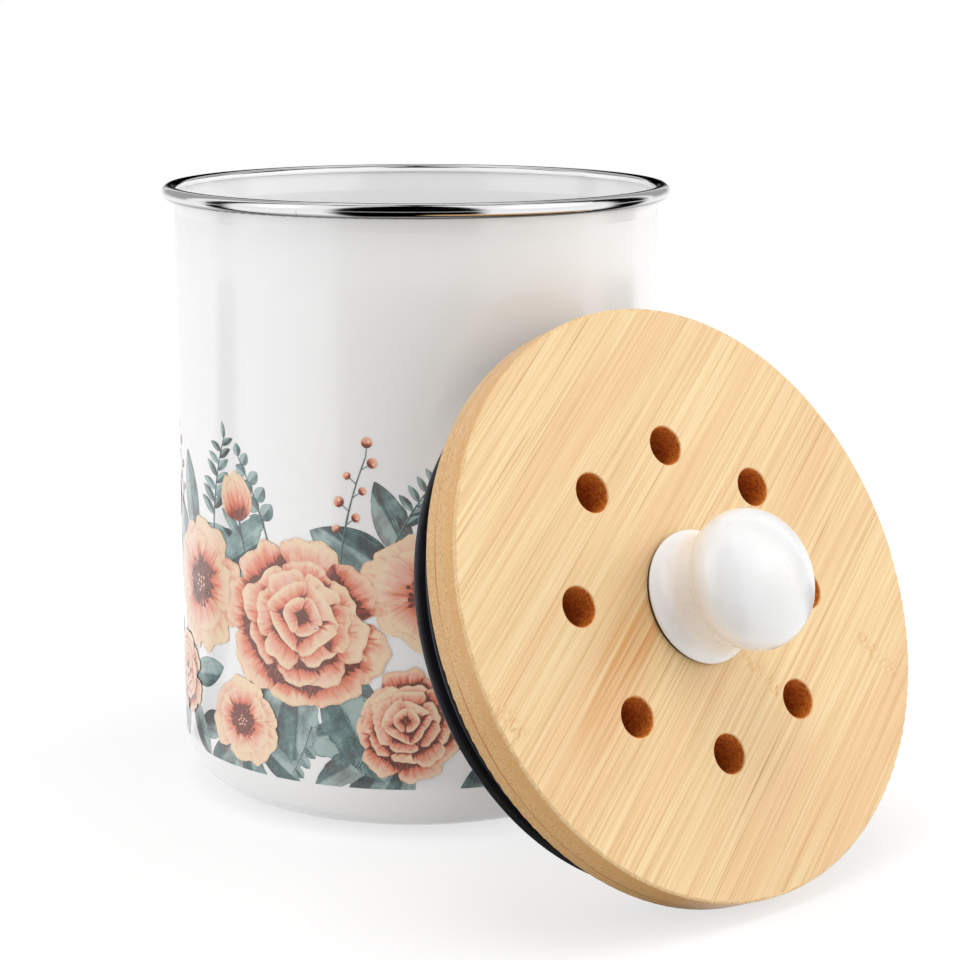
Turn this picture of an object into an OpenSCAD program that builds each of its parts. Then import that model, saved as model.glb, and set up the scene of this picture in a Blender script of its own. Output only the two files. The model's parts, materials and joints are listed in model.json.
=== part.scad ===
// Enamelled compost canister with a lift-off vented bamboo lid, shown with
// the lid taken off and leaning against the canister, as it is set down
// while the canister is being filled.
//
// All sizes are in millimetres.  The canister stands at the origin with +Z
// up, and the lid leans against its +X side.
//
// The lid's own pieces are drawn on the lid's axis: z = 0 is the underside
// of the bamboo disc (the face that sits on the rim when the canister is
// closed), and +z points out to the knob.  lean_lid() carries them over to
// where the lid leans.

/* [Canister] */
// Overall height of the canister, table to the top of the rim
canister_h = 201; // [150:1:280]
// Outside diameter of the straight wall
body_d = 158.8; // [148:0.2:164]
// Thickness of the enamelled steel wall
wall_t = 1.0; // [0.8:0.1:1.8]
// Thickness of the enamelled steel base
base_t = 1.2; // [0.8:0.1:2.5]
// Outside radius of the rounded corner between wall and base
base_corner_r = 20; // [8:0.5:30]

/* [Rim] */
// Outside diameter of the steel rim band
rim_d = 167; // [165.4:0.2:176]
// Height of the rim band's round section
rim_bead_h = 4.8; // [3.6:0.2:5.4]
// Thickness of the stainless band that is rolled over the canister's edge
band_t = 0.45; // [0.3:0.05:0.8]
// Gap between the band and the curl that it is rolled over
band_gap = 0.08; // [0.03:0.01:0.15]
// Height over which the wall flares out to meet the rim
flare_h = 9; // [6:0.5:16]

/* [Lid disc] */
// Outside diameter of the bamboo disc
lid_d = 180; // [176:0.5:200]
// Thickness of the bamboo disc
lid_t = 13.5; // [12:0.5:20]
// Radius of the rounding on the disc's edges
lid_round_r = 0.8; // [0.6:0.1:2.5]

/* [Vents] */
// Number of vent holes
vent_count = 8; // [4:1:10]
// Diameter of one vent hole
vent_d = 11.7; // [6:0.1:14]
// Diameter of the circle that the vent holes lie on
vent_circle_d = 93.6; // [76:0.2:104]
// Turn of the vent pattern about the lid's axis, in degrees
vent_turn = -6.35; // [-22.5:0.05:22.5]
// Depth of the countersink that breaks each vent's mouth
vent_break = 0.5; // [0.2:0.1:1]

/* [Plug ring] */
// Depth of the ring under the disc that drops into the mouth
plug_h = 18.6; // [16:0.1:26]
// Clearance between the ring and the inside of the wall, per side
plug_gap = 2.2; // [1.5:0.1:4]
// Thickness of the ring's wall between the seal's groove and the step
ring_wall_t = 5; // [3:0.1:8]
// Width of the step that the filter cover's flange seats on
step_w = 6; // [4:0.1:9]
// Depth of that step
cover_step_h = 2.6; // [2:0.1:4]

/* [Seal] */
// How far each fin reaches past the inside of the wall while it is free
seal_squeeze = 3.4; // [0.5:0.1:3.6]
// Width of the band that lies in the ring's groove
seal_band_h = 11; // [8:0.5:13]
// Depth of the groove
seal_groove = 2.2; // [1.4:0.1:3]
// Thickness of the band above the groove's floor
seal_band_t = 2.6; // [2:0.1:3.4]
// Thickness of the wide fin at the ring's open end
fin_t = 2.4; // [1.6:0.1:3]
// Thickness of the thinner fins
thin_fin_t = 1.4; // [1:0.1:2]
// Number of thinner fins
thin_fins = 2; // [1:1:2]
// How much less each thinner fin reaches than the wide one
thin_fin_back = 0.5; // [0:0.1:1]

/* [Knob] */
// Diameter of the ball
ball_d = 42.2; // [34:0.2:48]
// Height of the flattened ball, pole to pole
ball_h = 27.6; // [24:0.2:34]
// Radius of the ball's tight curve round its equator
ball_side_r = 10.5; // [8:0.25:12]
// Overall height of the knob above the washer
knob_h = 36.4; // [34:0.2:46]
// Diameter of the knob's foot
foot_d = 40.6; // [32:0.2:44]
// Radius of the rounding round the foot's edge
foot_edge_r = 1; // [0.6:0.1:1.5]
// Angle at which that rounding turns into the hollow waist, in degrees
foot_turn = 50; // [35:1:65]
// Diameter of the waist between foot and ball
waist_d = 33.4; // [24:0.2:35]
// Thickness of the soft washer under the foot
knob_washer_t = 0.8; // [0.5:0.1:1.5]
// Diameter of the soft washer
knob_washer_d = 39.4; // [28:0.2:40]

/* [Fixings] */
// Diameter of the stud that runs through the lid
stud_d = 5; // [4:0.5:6]
// Depth of the stud in the knob
stud_grip = 14; // [10:0.5:18]
// Outside diameter of the brass insert in the knob
insert_d = 9; // [8:0.5:11]
// Running clearance round the stud, per side
stud_clear = 0.06; // [0.03:0.01:0.1]
// Clearance of the holes that the stud passes through, per side
hole_clear = 0.4; // [0.2:0.05:0.8]
// Width of the hexagon nut across its flats
nut_af = 8; // [7:0.5:10]
// Height of the hexagon nut
nut_h = 4; // [3:0.5:5]
// Diameter of the steel washer
washer_d = 15; // [12:0.5:17]
// Thickness of the steel washer
washer_t = 1; // [0.8:0.1:1.6]
// Clearance round the washer in its counterbore, per side
washer_clear = 0.5; // [0.3:0.1:1]

/* [Filter and cover] */
// Thickness of the charcoal filter pad
filter_t = 8; // [6:0.5:10]
// Clearance round the pad in the recess, per side
filter_clear = 0.6; // [0.3:0.1:1.5]
// Thickness of the moulded cover's plate
cover_t = 1.8; // [1.4:0.1:2.4]
// Thickness of the ribs that hold the pad up
rib_t = 1.6; // [1.2:0.1:2.4]
// Clearance round the cover, per side
cover_clear = 0.5; // [0.3:0.1:1]
// Number of radial slots in each ring of slots
slot_count = 16; // [12:2:18]
// Width of a slot
slot_w = 3.4; // [2.4:0.2:4]
// Width of the solid rings between two rings of slots
slot_land = 5; // [4:0.5:8]
// Number of rings of slots
slot_rows = 3; // [2:1:3]
// Diameter of the thumb nut
thumb_nut_d = 19; // [16:0.5:24]
// Height of the thumb nut
thumb_nut_h = 6; // [5:0.5:7]
// Number of finger lobes round the thumb nut
thumb_lobes = 6; // [5:1:8]
// Gap between the thumb nut and the cover
thumb_gap = 0.2; // [0.1:0.05:0.5]

/* [Leaning lid] */
// Lean of the lid's face from upright, in degrees
lean = 23.9; // [18:0.1:35]
// Distance of the lid's centre from the line that it would lean square on
lean_side = -11.3; // [-20:0.1:20]
// Gap between the seal's nearest fin and the wall
wall_gap = 0.3; // [0.2:0.1:2]

/* [Hidden] */
$fn = 96;

// Small overlap that makes cuts run past the faces they cut
cut = 1;

// How far a joined shape runs into the body that it stands on
root = 0.5;

// Height of the ring that is left below the seal's groove
groove_lip_h = 1.2;
// Length of stud that shows below the thumb nut
stud_end_h = 1;
// Depth of the insert's hole past the end of the stud
hole_past_h = 1;
// Room under the nut in its counterbore
nut_room_h = 0.6;
// Share of the thumb nut's radius that its lobes are rounded by
lobe_share = 0.3;
// Height by which the lobes end below the thumb nut's upper face
lobe_drop_h = 1;
// Width of the boss round the stud past the thumb nut
boss_past_w = 1;
// Shares of the section's radius at which the curl and the band open, inside
curl_open = 0.3;
band_open = 0.2;

// Colours, as the finishes look
ENAMEL = [0.95, 0.95, 0.94];
STEEL = [0.78, 0.79, 0.80];
BAMBOO = [0.92, 0.77, 0.52];
BAMBOO_PLUG = [0.86, 0.70, 0.45];
SILICONE = [0.10, 0.11, 0.13];
PORCELAIN = [0.97, 0.97, 0.97];
BRASS = [0.78, 0.63, 0.30];
CHARCOAL = [0.16, 0.16, 0.16];
COVER = [0.82, 0.83, 0.82];

// Canister
body_r = body_d / 2;
bore_r = body_r - wall_t;
corner_in_r = base_corner_r - wall_t;
rim_r = rim_d / 2;
bead_r = rim_bead_h / 2;
bead_z = canister_h - bead_r;
bead_x = rim_r - bead_r;
curl_r = bead_r - band_t - band_gap;
curl_in_r = curl_r - wall_t;
flare_z = canister_h - flare_h;
flare_x = bead_x - curl_r;

// Lid disc and plug ring
lid_r = lid_d / 2;
plug_r = bore_r - plug_gap;

// Seal: the band sits in the groove, and its fins stand out from it.  The
// ring's wall, step and recess lie inside the groove.
fin_r = bore_r + seal_squeeze;
band_in_r = plug_r - seal_groove;
band_out_r = band_in_r + seal_band_t;
step_r = band_in_r - ring_wall_t;
recess_r = step_r - step_w;
seal_low_z = -plug_h + groove_lip_h;
seal_high_z = seal_low_z + seal_band_h;
fin_z = seal_low_z;
fin_pitch = (seal_band_h - fin_t) / thin_fins;

// Fixings
stud_r = stud_d / 2;
stud_hole_r = stud_r + hole_clear;
thread_r = stud_r + stud_clear;
counterbore_r = washer_d / 2 + washer_clear;
counterbore_h = washer_t + nut_h + nut_room_h;
knob_z = lid_t + knob_washer_t;
insert_h = stud_grip + hole_past_h;
ball_r = ball_d / 2;
ball_z = knob_h - ball_h / 2;
foot_r = foot_d / 2;
waist_r = waist_d / 2;

// Filter and cover
filter_r = recess_r - filter_clear;
cover_high_z = -plug_h + cover_step_h;
cover_low_z = cover_high_z - cover_t;
cover_wall_r = recess_r - cover_clear;
cover_flange_r = step_r - cover_clear;
thumb_nut_r = thumb_nut_d / 2;
thumb_nut_z = cover_low_z - thumb_gap - thumb_nut_h;
stud_low_z = thumb_nut_z - stud_end_h;

// Where the lid leans.  Its pieces stay clear of the wall by wall_gap, and
// each is a ring with a rounded rim: ring radius r and height z on the lid's
// axis, rounded by rim_r.  For each point of such a ring, clear_x gives the
// least distance of the lid's centre from the canister's axis.
function clear_x(r, z, round_r) =
    let (wall = body_r + wall_gap + round_r)
    max([for (a = [0 : 180])
             let (y = lean_side + r * cos(a))
             if (abs(y) < wall)
                 sqrt(wall * wall - y * y)
                 + r * sin(a) * sin(lean) - z * cos(lean)]);
lid_x = max(clear_x(fin_r - fin_t / 2, fin_z + fin_t / 2, fin_t / 2),
            clear_x(lid_r - lid_round_r, lid_round_r, lid_round_r));
// The lower back edge of the disc stands on the table.
lid_z = (lid_r - lid_round_r) * cos(lean)
        + lid_round_r * (1 - sin(lean));

module lean_lid() {
    translate([lid_x, lean_side, lid_z])
        rotate([0, 90 - lean, 0])
            children();
}

// A ring of rectangular section between two radii and two heights.
module ring(r_in, r_out, z0, z1) {
    rotate_extrude()
        translate([r_in, z0])
            square([r_out - r_in, z1 - z0]);
}

// A disc whose two edges are rounded.
module rounded_disc(r, h, round_r) {
    rotate_extrude() {
        square([r - round_r, h]);
        translate([0, round_r])
            square([r, h - 2 * round_r]);
        for (z = [round_r, h - round_r])
            translate([r - round_r, z])
                circle(round_r);
    }
}

// Section of the canister's skin at one offset from its outside: a flat
// base, a rounded corner and a straight wall up to the flare.
module pot_section(r, corner, z0) {
    translate([0, z0])
        square([r - corner, flare_z - z0]);
    translate([0, z0 + corner])
        square([r, flare_z - z0 - corner]);
    translate([r - corner, z0 + corner])
        circle(corner);
}

// Wedge that opens a round section at its lower inner side: from its middle
// out to one width and, below the section, back to another.
module opening(width, low_width) {
    low_z = -bead_r - cut;
    polygon([[0, 0], [-width, 0], [-width, low_z], [-low_width, low_z]]);
}

// The drawn steel pot: straight wall, rounded corner, flat base, and a wall
// that flares at the mouth and curls over.  The curl is open underneath,
// where its edge comes back to the wall.
module canister_shell() {
    color(ENAMEL)
        rotate_extrude()
            difference() {
                union() {
                    pot_section(body_r, base_corner_r, 0);
                    polygon([[0, flare_z], [body_r, flare_z],
                             [flare_x + wall_t, bead_z], [0, bead_z]]);
                    translate([bead_x, bead_z])
                        circle(curl_r);
                }
                pot_section(bore_r, corner_in_r, base_t);
                polygon([[-cut, flare_z - cut], [bore_r, flare_z - cut],
                         [bore_r, flare_z], [flare_x, bead_z],
                         [-cut, bead_z]]);
                translate([bead_x, bead_z]) {
                    circle(curl_in_r);
                    opening(curl_in_r, curl_r * curl_open);
                }
            }
}

// The stainless band: a thin C section rolled over the curl, open where the
// wall comes up into it.
module rim_band() {
    color(STEEL)
        rotate_extrude()
            translate([bead_x, bead_z])
                difference() {
                    circle(bead_r);
                    circle(bead_r - band_t);
                    opening(bead_r + cut, bead_r * band_open);
                }
}

// The vents through the disc, each with its mouth broken.
module vents() {
    for (i = [0 : vent_count - 1])
        rotate([0, 0, vent_turn + i * 360 / vent_count])
            translate([vent_circle_d / 2, 0, 0]) {
                translate([0, 0, -cut])
                    cylinder(h = lid_t + 2 * cut, d = vent_d);
                translate([0, 0, lid_t - vent_break])
                    cylinder(h = vent_break + cut, r1 = vent_d / 2,
                             r2 = vent_d / 2 + vent_break + cut);
            }
}

// The bamboo disc, bored for the stud and counterbored for its nut.
module lid_disc() {
    color(BAMBOO)
        lean_lid()
            difference() {
                rounded_disc(lid_r, lid_t, lid_round_r);
                vents();
                translate([0, 0, -cut])
                    cylinder(h = lid_t + 2 * cut, r = stud_hole_r);
                translate([0, 0, -cut])
                    cylinder(h = counterbore_h + cut, r = counterbore_r);
            }
}

// The bamboo ring under the disc: a groove outside for the seal, a recess
// inside for the filter and a step for its cover.
module lid_plug_ring() {
    color(BAMBOO_PLUG)
        lean_lid()
            difference() {
                ring(recess_r, plug_r, -plug_h, 0);
                ring(recess_r - cut, step_r, -plug_h - cut, cover_high_z);
                ring(band_in_r, plug_r + cut, seal_low_z, seal_high_z);
            }
}

// One fin of the seal with a rounded tip, from the band out to the wall.
module fin(r_tip, thickness, z) {
    rotate_extrude() {
        translate([band_in_r + root, z])
            square([r_tip - thickness / 2 - band_in_r - root, thickness]);
        translate([r_tip - thickness / 2, z + thickness / 2])
            circle(thickness / 2);
    }
}

// The silicone seal: a band in the groove, one wide fin at the open end and
// thinner fins above it.
module seal_ring() {
    color(SILICONE)
        lean_lid() {
            ring(band_in_r, band_out_r, seal_low_z, seal_high_z);
            fin(fin_r, fin_t, fin_z);
            for (i = [1 : thin_fins])
                fin(fin_r - thin_fin_back, thin_fin_t,
                    fin_z + fin_t + i * fin_pitch - thin_fin_t);
        }
}

// The flattened ball's section is an oval of two radii: a tight curve round
// the equator that runs into a flatter crown at each pole.
module ball_section() {
    side_x = ball_r - ball_side_r;
    half_h = ball_h / 2;
    crown_r = (side_x * side_x + half_h * half_h
               - ball_side_r * ball_side_r) / (2 * (half_h - ball_side_r));
    crown_z = half_h - crown_r;
    spread = crown_r / (crown_r - ball_side_r);
    for (side = [0, 1])
        mirror([0, side])
            intersection() {
                translate([0, crown_z])
                    circle(crown_r);
                polygon([[0, crown_z],
                         [side_x * spread, crown_z * (1 - spread)],
                         [side_x * spread, crown_r * 2],
                         [0, crown_r * 2]]);
                square([ball_r, half_h + cut]);
            }
    translate([side_x, 0])
        circle(ball_side_r);
    translate([0, -ball_side_r])
        square([side_x, 2 * ball_side_r]);
}

// Half section of the knob's foot: a rounded edge that turns into the
// hollow of the waist, both arcs running into each other.
module foot_section() {
    edge_x = foot_r - foot_edge_r;
    hollow_r = (edge_x + foot_edge_r * cos(foot_turn) - waist_r)
               / (1 - cos(foot_turn));
    turn_x = edge_x + foot_edge_r * cos(foot_turn);
    turn_z = foot_edge_r * (1 + sin(foot_turn));
    hollow_x = turn_x + hollow_r * cos(foot_turn);
    hollow_z = turn_z + hollow_r * sin(foot_turn);
    translate([edge_x, foot_edge_r])
        circle(foot_edge_r);
    difference() {
        polygon([[0, 0], [edge_x, 0], [edge_x, foot_edge_r],
                 [turn_x, turn_z], [hollow_x, hollow_z], [0, hollow_z]]);
        translate([hollow_x, hollow_z])
            circle(hollow_r);
    }
    square([waist_r, ball_z]);
}

// The porcelain knob: foot, hollowed waist, flattened ball, and a blind hole
// for the insert.
module knob() {
    color(PORCELAIN)
        lean_lid()
            translate([0, 0, knob_z])
                difference() {
                    rotate_extrude() {
                        foot_section();
                        translate([0, ball_z])
                            ball_section();
                    }
                    translate([0, 0, -cut])
                        cylinder(h = insert_h + cut, d = insert_d);
                }
}

// The brass insert that is cemented into the knob and takes the stud.
module knob_insert() {
    color(BRASS)
        lean_lid()
            ring(thread_r, insert_d / 2, knob_z, knob_z + insert_h);
}

// The soft washer between the knob's foot and the bamboo.
module knob_washer() {
    color(SILICONE)
        lean_lid()
            ring(stud_hole_r, knob_washer_d / 2, lid_t, knob_z);
}

// The stud, from the knob's insert down to the thumb nut.
module lid_stud() {
    color(STEEL)
        lean_lid()
            translate([0, 0, stud_low_z])
                cylinder(h = knob_z + stud_grip - stud_low_z, r = stud_r);
}

// The steel washer at the top of the counterbore.
module stud_washer() {
    washer_z = counterbore_h - washer_t;
    color(STEEL)
        lean_lid()
            ring(stud_hole_r, washer_d / 2, washer_z, counterbore_h);
}

// The hexagon nut that clamps the knob to the disc.
module stud_nut() {
    color(STEEL)
        lean_lid()
            translate([0, 0, counterbore_h - washer_t - nut_h])
                difference() {
                    cylinder(h = nut_h, r = nut_af / 2 / cos(30), $fn = 6);
                    translate([0, 0, -cut])
                        cylinder(h = nut_h + 2 * cut, r = thread_r);
                }
}

// The round pad of activated charcoal that lies over the vents.
module charcoal_filter() {
    color(CHARCOAL)
        lean_lid()
            ring(stud_hole_r, filter_r, -filter_t, 0);
}

// One radial slot with round ends, from radius r0 to r1.
module slot(r0, r1) {
    h = cover_t + 2 * cut;
    for (r = [r0 + slot_w / 2, r1 - slot_w / 2])
        translate([r, 0, 0])
            cylinder(h = h, d = slot_w);
    translate([r0 + slot_w / 2, -slot_w / 2, 0])
        cube([r1 - r0 - slot_w, slot_w, h]);
}

// The moulded cover: a slotted plate whose flange seats in the plug ring's
// step, with a boss and ring ribs that stand up to the pad and hold it.
module filter_cover() {
    boss_r = thumb_nut_r + boss_past_w;
    row_w = (cover_wall_r - rib_t / 2 - boss_r) / slot_rows;
    color(COVER)
        lean_lid() {
            difference() {
                ring(stud_hole_r, cover_flange_r, cover_low_z, cover_high_z);
                for (row = [0 : slot_rows - 1], i = [0 : slot_count - 1])
                    if (row > 0 || i % 2 == 0)
                        rotate([0, 0, i * 360 / slot_count])
                            translate([0, 0, cover_low_z - cut])
                                slot(boss_r + row * row_w + slot_land / 2,
                                     boss_r + (row + 1) * row_w
                                     - slot_land / 2);
            }
            ring(stud_hole_r, boss_r, cover_high_z, -filter_t);
            for (row = [1 : slot_rows])
                ring(boss_r + row * row_w - rib_t / 2,
                     boss_r + row * row_w + rib_t / 2,
                     cover_high_z, -filter_t);
        }
}

// The thumb nut under the cover, with lobes for a finger and thumb.
module thumb_nut() {
    lobe_r = thumb_nut_r * lobe_share;
    core_r = thumb_nut_r - lobe_r;
    color(SILICONE)
        lean_lid()
            translate([0, 0, thumb_nut_z])
                difference() {
                    union() {
                        cylinder(h = thumb_nut_h, r = core_r);
                        for (i = [0 : thumb_lobes - 1])
                            rotate([0, 0, i * 360 / thumb_lobes])
                                translate([core_r, 0, 0])
                                    cylinder(h = thumb_nut_h - lobe_drop_h,
                                             r = lobe_r);
                    }
                    translate([0, 0, -cut])
                        cylinder(h = thumb_nut_h + 2 * cut, r = thread_r);
                }
}

canister_shell();
rim_band();
lid_disc();
lid_plug_ring();
seal_ring();
knob();
knob_insert();
knob_washer();
lid_stud();
stud_washer();
stud_nut();
charcoal_filter();
filter_cover();
thumb_nut();
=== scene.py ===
"""Dresses an enamelled compost canister and its lift-off vented bamboo lid.

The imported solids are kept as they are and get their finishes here: white
enamel, a polished steel rim, laminated bamboo, a glazed knob, silicone and the
filter's felt and moulding.  The wall's floral print is built as thin closed
shapes, laid out flat and wrapped round the wall by Geometry Nodes.
"""
import json
import logging
import math
import random
from collections.abc import Callable, Iterable
from dataclasses import dataclass, field, replace
from enum import Enum
from typing import ClassVar

import bmesh
import bpy
from mathutils import Matrix, Vector


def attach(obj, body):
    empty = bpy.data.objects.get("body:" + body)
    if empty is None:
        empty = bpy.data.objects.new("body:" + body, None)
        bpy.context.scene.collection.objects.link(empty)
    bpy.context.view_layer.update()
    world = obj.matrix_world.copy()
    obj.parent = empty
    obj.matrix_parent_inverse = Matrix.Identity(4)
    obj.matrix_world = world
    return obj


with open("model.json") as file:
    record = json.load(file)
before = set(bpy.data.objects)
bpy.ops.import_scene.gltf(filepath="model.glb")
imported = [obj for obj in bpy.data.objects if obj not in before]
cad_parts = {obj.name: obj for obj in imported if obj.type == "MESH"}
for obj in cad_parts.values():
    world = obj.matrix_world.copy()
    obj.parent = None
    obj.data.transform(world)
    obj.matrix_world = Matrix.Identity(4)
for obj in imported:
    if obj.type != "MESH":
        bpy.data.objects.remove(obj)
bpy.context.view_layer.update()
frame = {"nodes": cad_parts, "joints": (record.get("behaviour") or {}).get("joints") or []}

MM = 0.001
ORIGIN = (0.0, 0.0, 0.0)
WHITE = (1.0, 1.0, 1.0)

Colour = tuple[float, float, float]
Socket = bpy.types.NodeSocket
Value = float | int | tuple | Socket
Outline = Callable[[float], tuple[float, float]]

log = logging.getLogger("canister")


def srgb(red: int, green: int, blue: int) -> Colour:
    """Turns a colour as a screen shows it into the linear values that shaders use.

    Args:
        red: Red, 0 to 255.
        green: Green, 0 to 255.
        blue: Blue, 0 to 255.

    Returns:
        The three linear values, 0 to 1.
    """
    def linear(level: int) -> float:
        """Turns one level, 0 to 255, into its linear share."""
        share = level / 255
        return share / 12.92 if share <= 0.04045 else ((share + 0.055) / 1.055) ** 2.4
    return linear(red), linear(green), linear(blue)


# ----------------------------------------------------------------- shader nodes

class Graph:
    """Adds and links the nodes of one shader or geometry node tree."""

    def __init__(self, tree: bpy.types.NodeTree) -> None:
        """Keeps the tree that the other methods add to."""
        self.tree = tree

    def feed(self, socket: Socket, value: Value) -> None:
        """Links a socket to another one, or sets it to a plain value.

        Args:
            socket: The input that is fed.
            value: An output to link from, or the value itself.
        """
        if isinstance(value, bpy.types.NodeSocket):
            self.tree.links.new(value, socket)
        elif isinstance(value, tuple) and socket.type == "RGBA":
            socket.default_value = (*value[:3], 1.0)
        else:
            socket.default_value = value

    def fit(self, node: bpy.types.Node, **inputs: Value) -> bpy.types.Node:
        """Feeds a node's inputs.

        Args:
            node: The node.
            **inputs: Values or outputs for its inputs, by name with spaces written
                as underscores.

        Returns:
            The same node.
        """
        for name, value in inputs.items():
            self.feed(node.inputs[name.replace("_", " ")], value)
        return node

    def add(self, kind: str, inputs: dict | None = None, **settings: object) -> bpy.types.Node:
        """Adds one node.

        Args:
            kind: The node's type name.
            inputs: Values or outputs for its inputs, by name or by index.
            **settings: Properties of the node itself.

        Returns:
            The new node.
        """
        node = self.tree.nodes.new(kind)
        for name, setting in settings.items():
            setattr(node, name, setting)
        for key, value in (inputs or {}).items():
            self.feed(node.inputs[key], value)
        return node

    def group(self, tree: bpy.types.NodeTree, **inputs: Value) -> bpy.types.NodeOutputs:
        """Places a node group.

        Args:
            tree: The group's tree.
            **inputs: Its inputs, by name with spaces written as underscores.

        Returns:
            The group's outputs, by name.
        """
        node = self.tree.nodes.new("ShaderNodeGroup")
        node.node_tree = tree
        return self.fit(node, **inputs).outputs

    def math(self, operation: str, *values: Value) -> Socket:
        """Adds a Math node over the given values and returns its result."""
        return self.add("ShaderNodeMath", dict(enumerate(values)), operation=operation).outputs[0]

    def plus(self, first: Value, second: Value) -> Socket:
        """Adds two numbers."""
        return self.math("ADD", first, second)

    def minus(self, first: Value, second: Value) -> Socket:
        """Takes the second number from the first."""
        return self.math("SUBTRACT", first, second)

    def times(self, first: Value, second: Value) -> Socket:
        """Multiplies two numbers."""
        return self.math("MULTIPLY", first, second)

    def over(self, first: Value, second: Value) -> Socket:
        """Divides the first number by the second."""
        return self.math("DIVIDE", first, second)

    def line(self, value: Value, slope: Value, start: Value) -> Socket:
        """Gives value times slope, plus start."""
        return self.math("MULTIPLY_ADD", value, slope, start)

    def gap(self, first: Value, second: Value) -> Socket:
        """Gives how far apart two numbers are."""
        return self.math("ABSOLUTE", self.minus(first, second))

    def squares(self, first: Value, second: Value) -> Socket:
        """Adds the squares of two numbers."""
        return self.plus(self.times(first, first), self.times(second, second))

    def combine(self, x: Value = 0.0, y: Value = 0.0, z: Value = 0.0) -> Socket:
        """Joins three numbers into one vector."""
        return self.add("ShaderNodeCombineXYZ", {0: x, 1: y, 2: z}).outputs[0]

    def separate(self, vector: Value) -> tuple[Socket, Socket, Socket]:
        """Splits a vector into its three numbers."""
        node = self.add("ShaderNodeSeparateXYZ", {0: vector})
        return node.outputs[0], node.outputs[1], node.outputs[2]

    def scaled(self, vector: Value, scale: Value) -> Socket:
        """Scales a vector by one number."""
        node = self.add("ShaderNodeVectorMath", {"Vector": vector, "Scale": scale}, operation="SCALE")
        return node.outputs[0]

    def moved(self, vector: Value, step: Value) -> Socket:
        """Adds two vectors."""
        return self.add("ShaderNodeVectorMath", {0: vector, 1: step}, operation="ADD").outputs[0]

    def attribute(self, name: str) -> Socket:
        """Reads a vector that the mesh carries at its points."""
        return self.add("ShaderNodeAttribute", attribute_name=name).outputs["Vector"]

    def noise(self, vector: Value, scale: float = 1.0, detail: float = 2.0, rough: float = 0.5) -> Socket:
        """Reads a noise texture, about 0.5 on average, with a number of finer octaves."""
        inputs = {"Vector": vector, "Scale": scale, "Detail": detail, "Roughness": rough}
        return self.add("ShaderNodeTexNoise", inputs).outputs["Fac"]

    def dice(self, key: Value) -> tuple[Socket, Socket, Socket]:
        """Gives three random numbers, 0 to 1, that depend on a key alone."""
        node = self.add("ShaderNodeTexWhiteNoise", {"W": key}, noise_dimensions="1D")
        return self.separate(node.outputs["Color"])

    def smooth(self, value: Value, low: float, high: float, start: float = 0.0, end: float = 1.0) -> Socket:
        """Runs smoothly from one number to another while a value crosses a range.

        Args:
            value: The value that is watched.
            low: Where the range starts.
            high: Where it ends.
            start: The result below the range.
            end: The result above the range.

        Returns:
            The smoothed result.
        """
        node = self.add("ShaderNodeMapRange", {0: value, 1: low, 2: high, 3: start, 4: end},
                        interpolation_type="SMOOTHSTEP")
        return node.outputs[0]

    def mix(self, colour: Value, tint: Value, mask: Value) -> Socket:
        """Mixes a tint into a colour by a mask, 0 to 1."""
        return self.add("ShaderNodeMix", {0: mask, 6: colour, 7: tint}, data_type="RGBA").outputs[2]

    def layered(self, colour: Value, *layers: tuple[Value, Value, Value]) -> Socket:
        """Lays tints over a colour, one after the other.

        Args:
            colour: The colour underneath.
            *layers: Each tint, with its mask and what the mask is multiplied by.

        Returns:
            The colour on top.
        """
        for tint, mask, strength in layers:
            colour = self.mix(colour, tint, self.times(mask, strength))
        return colour

    def ramp(self, value: Value, stops: Iterable[tuple[float, Colour]]) -> Socket:
        """Adds a colour ramp.

        Args:
            value: The value that picks the colour.
            stops: Each colour with its place, in rising order.

        Returns:
            The picked colour.
        """
        node = self.add("ShaderNodeValToRGB", {0: value})
        elements = node.color_ramp.elements
        for index, (place, colour) in enumerate(stops):
            stop = elements[index] if index < len(elements) else elements.new(place)
            stop.position = place
            stop.color = (*colour, 1.0)
        return node.outputs[0]

    def bump(self, height: Value, depth_mm: float, strength: float = 1.0) -> Socket:
        """Turns a height, 0 to 1, into a normal, where 1 stands for the depth in millimetres."""
        node = self.add("ShaderNodeBump", {"Height": height, "Distance": depth_mm * MM, "Strength": strength})
        return node.outputs[0]

    def place_in(self, matrix: Matrix = Matrix.Identity(4)) -> Socket:
        """Reads the object's place in another frame, in millimetres.

        Args:
            matrix: The frame, in metres.

        Returns:
            The place as a vector.
        """
        spot = self.add("ShaderNodeTexCoord").outputs["Object"]
        inputs = {"Vector": spot, "Location": tuple(matrix.translation), "Rotation": tuple(matrix.to_euler()),
                  "Scale": (MM, MM, MM)}
        return self.add("ShaderNodeMapping", inputs, vector_type="TEXTURE").outputs[0]

    def seen(self) -> Socket:
        """Tells the rays that see a thing from those that only light it.

        Returns:
            1 to rays from the camera, a mirror or a clear piece, and 0 to others.
        """
        path = self.add("ShaderNodeLightPath").outputs
        bent = self.math("MAXIMUM", path["Is Glossy Ray"], path["Is Transmission Ray"])
        return self.math("MAXIMUM", path["Is Camera Ray"], bent)


def bare_material(name: str) -> tuple[bpy.types.Material, Graph]:
    """Makes a material with no nodes yet.

    Args:
        name: The material's name.

    Returns:
        The material, and the graph that adds its nodes.
    """
    material = bpy.data.materials.new(name)
    material.use_nodes = True
    material.node_tree.nodes.clear()
    return material, Graph(material.node_tree)


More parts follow.
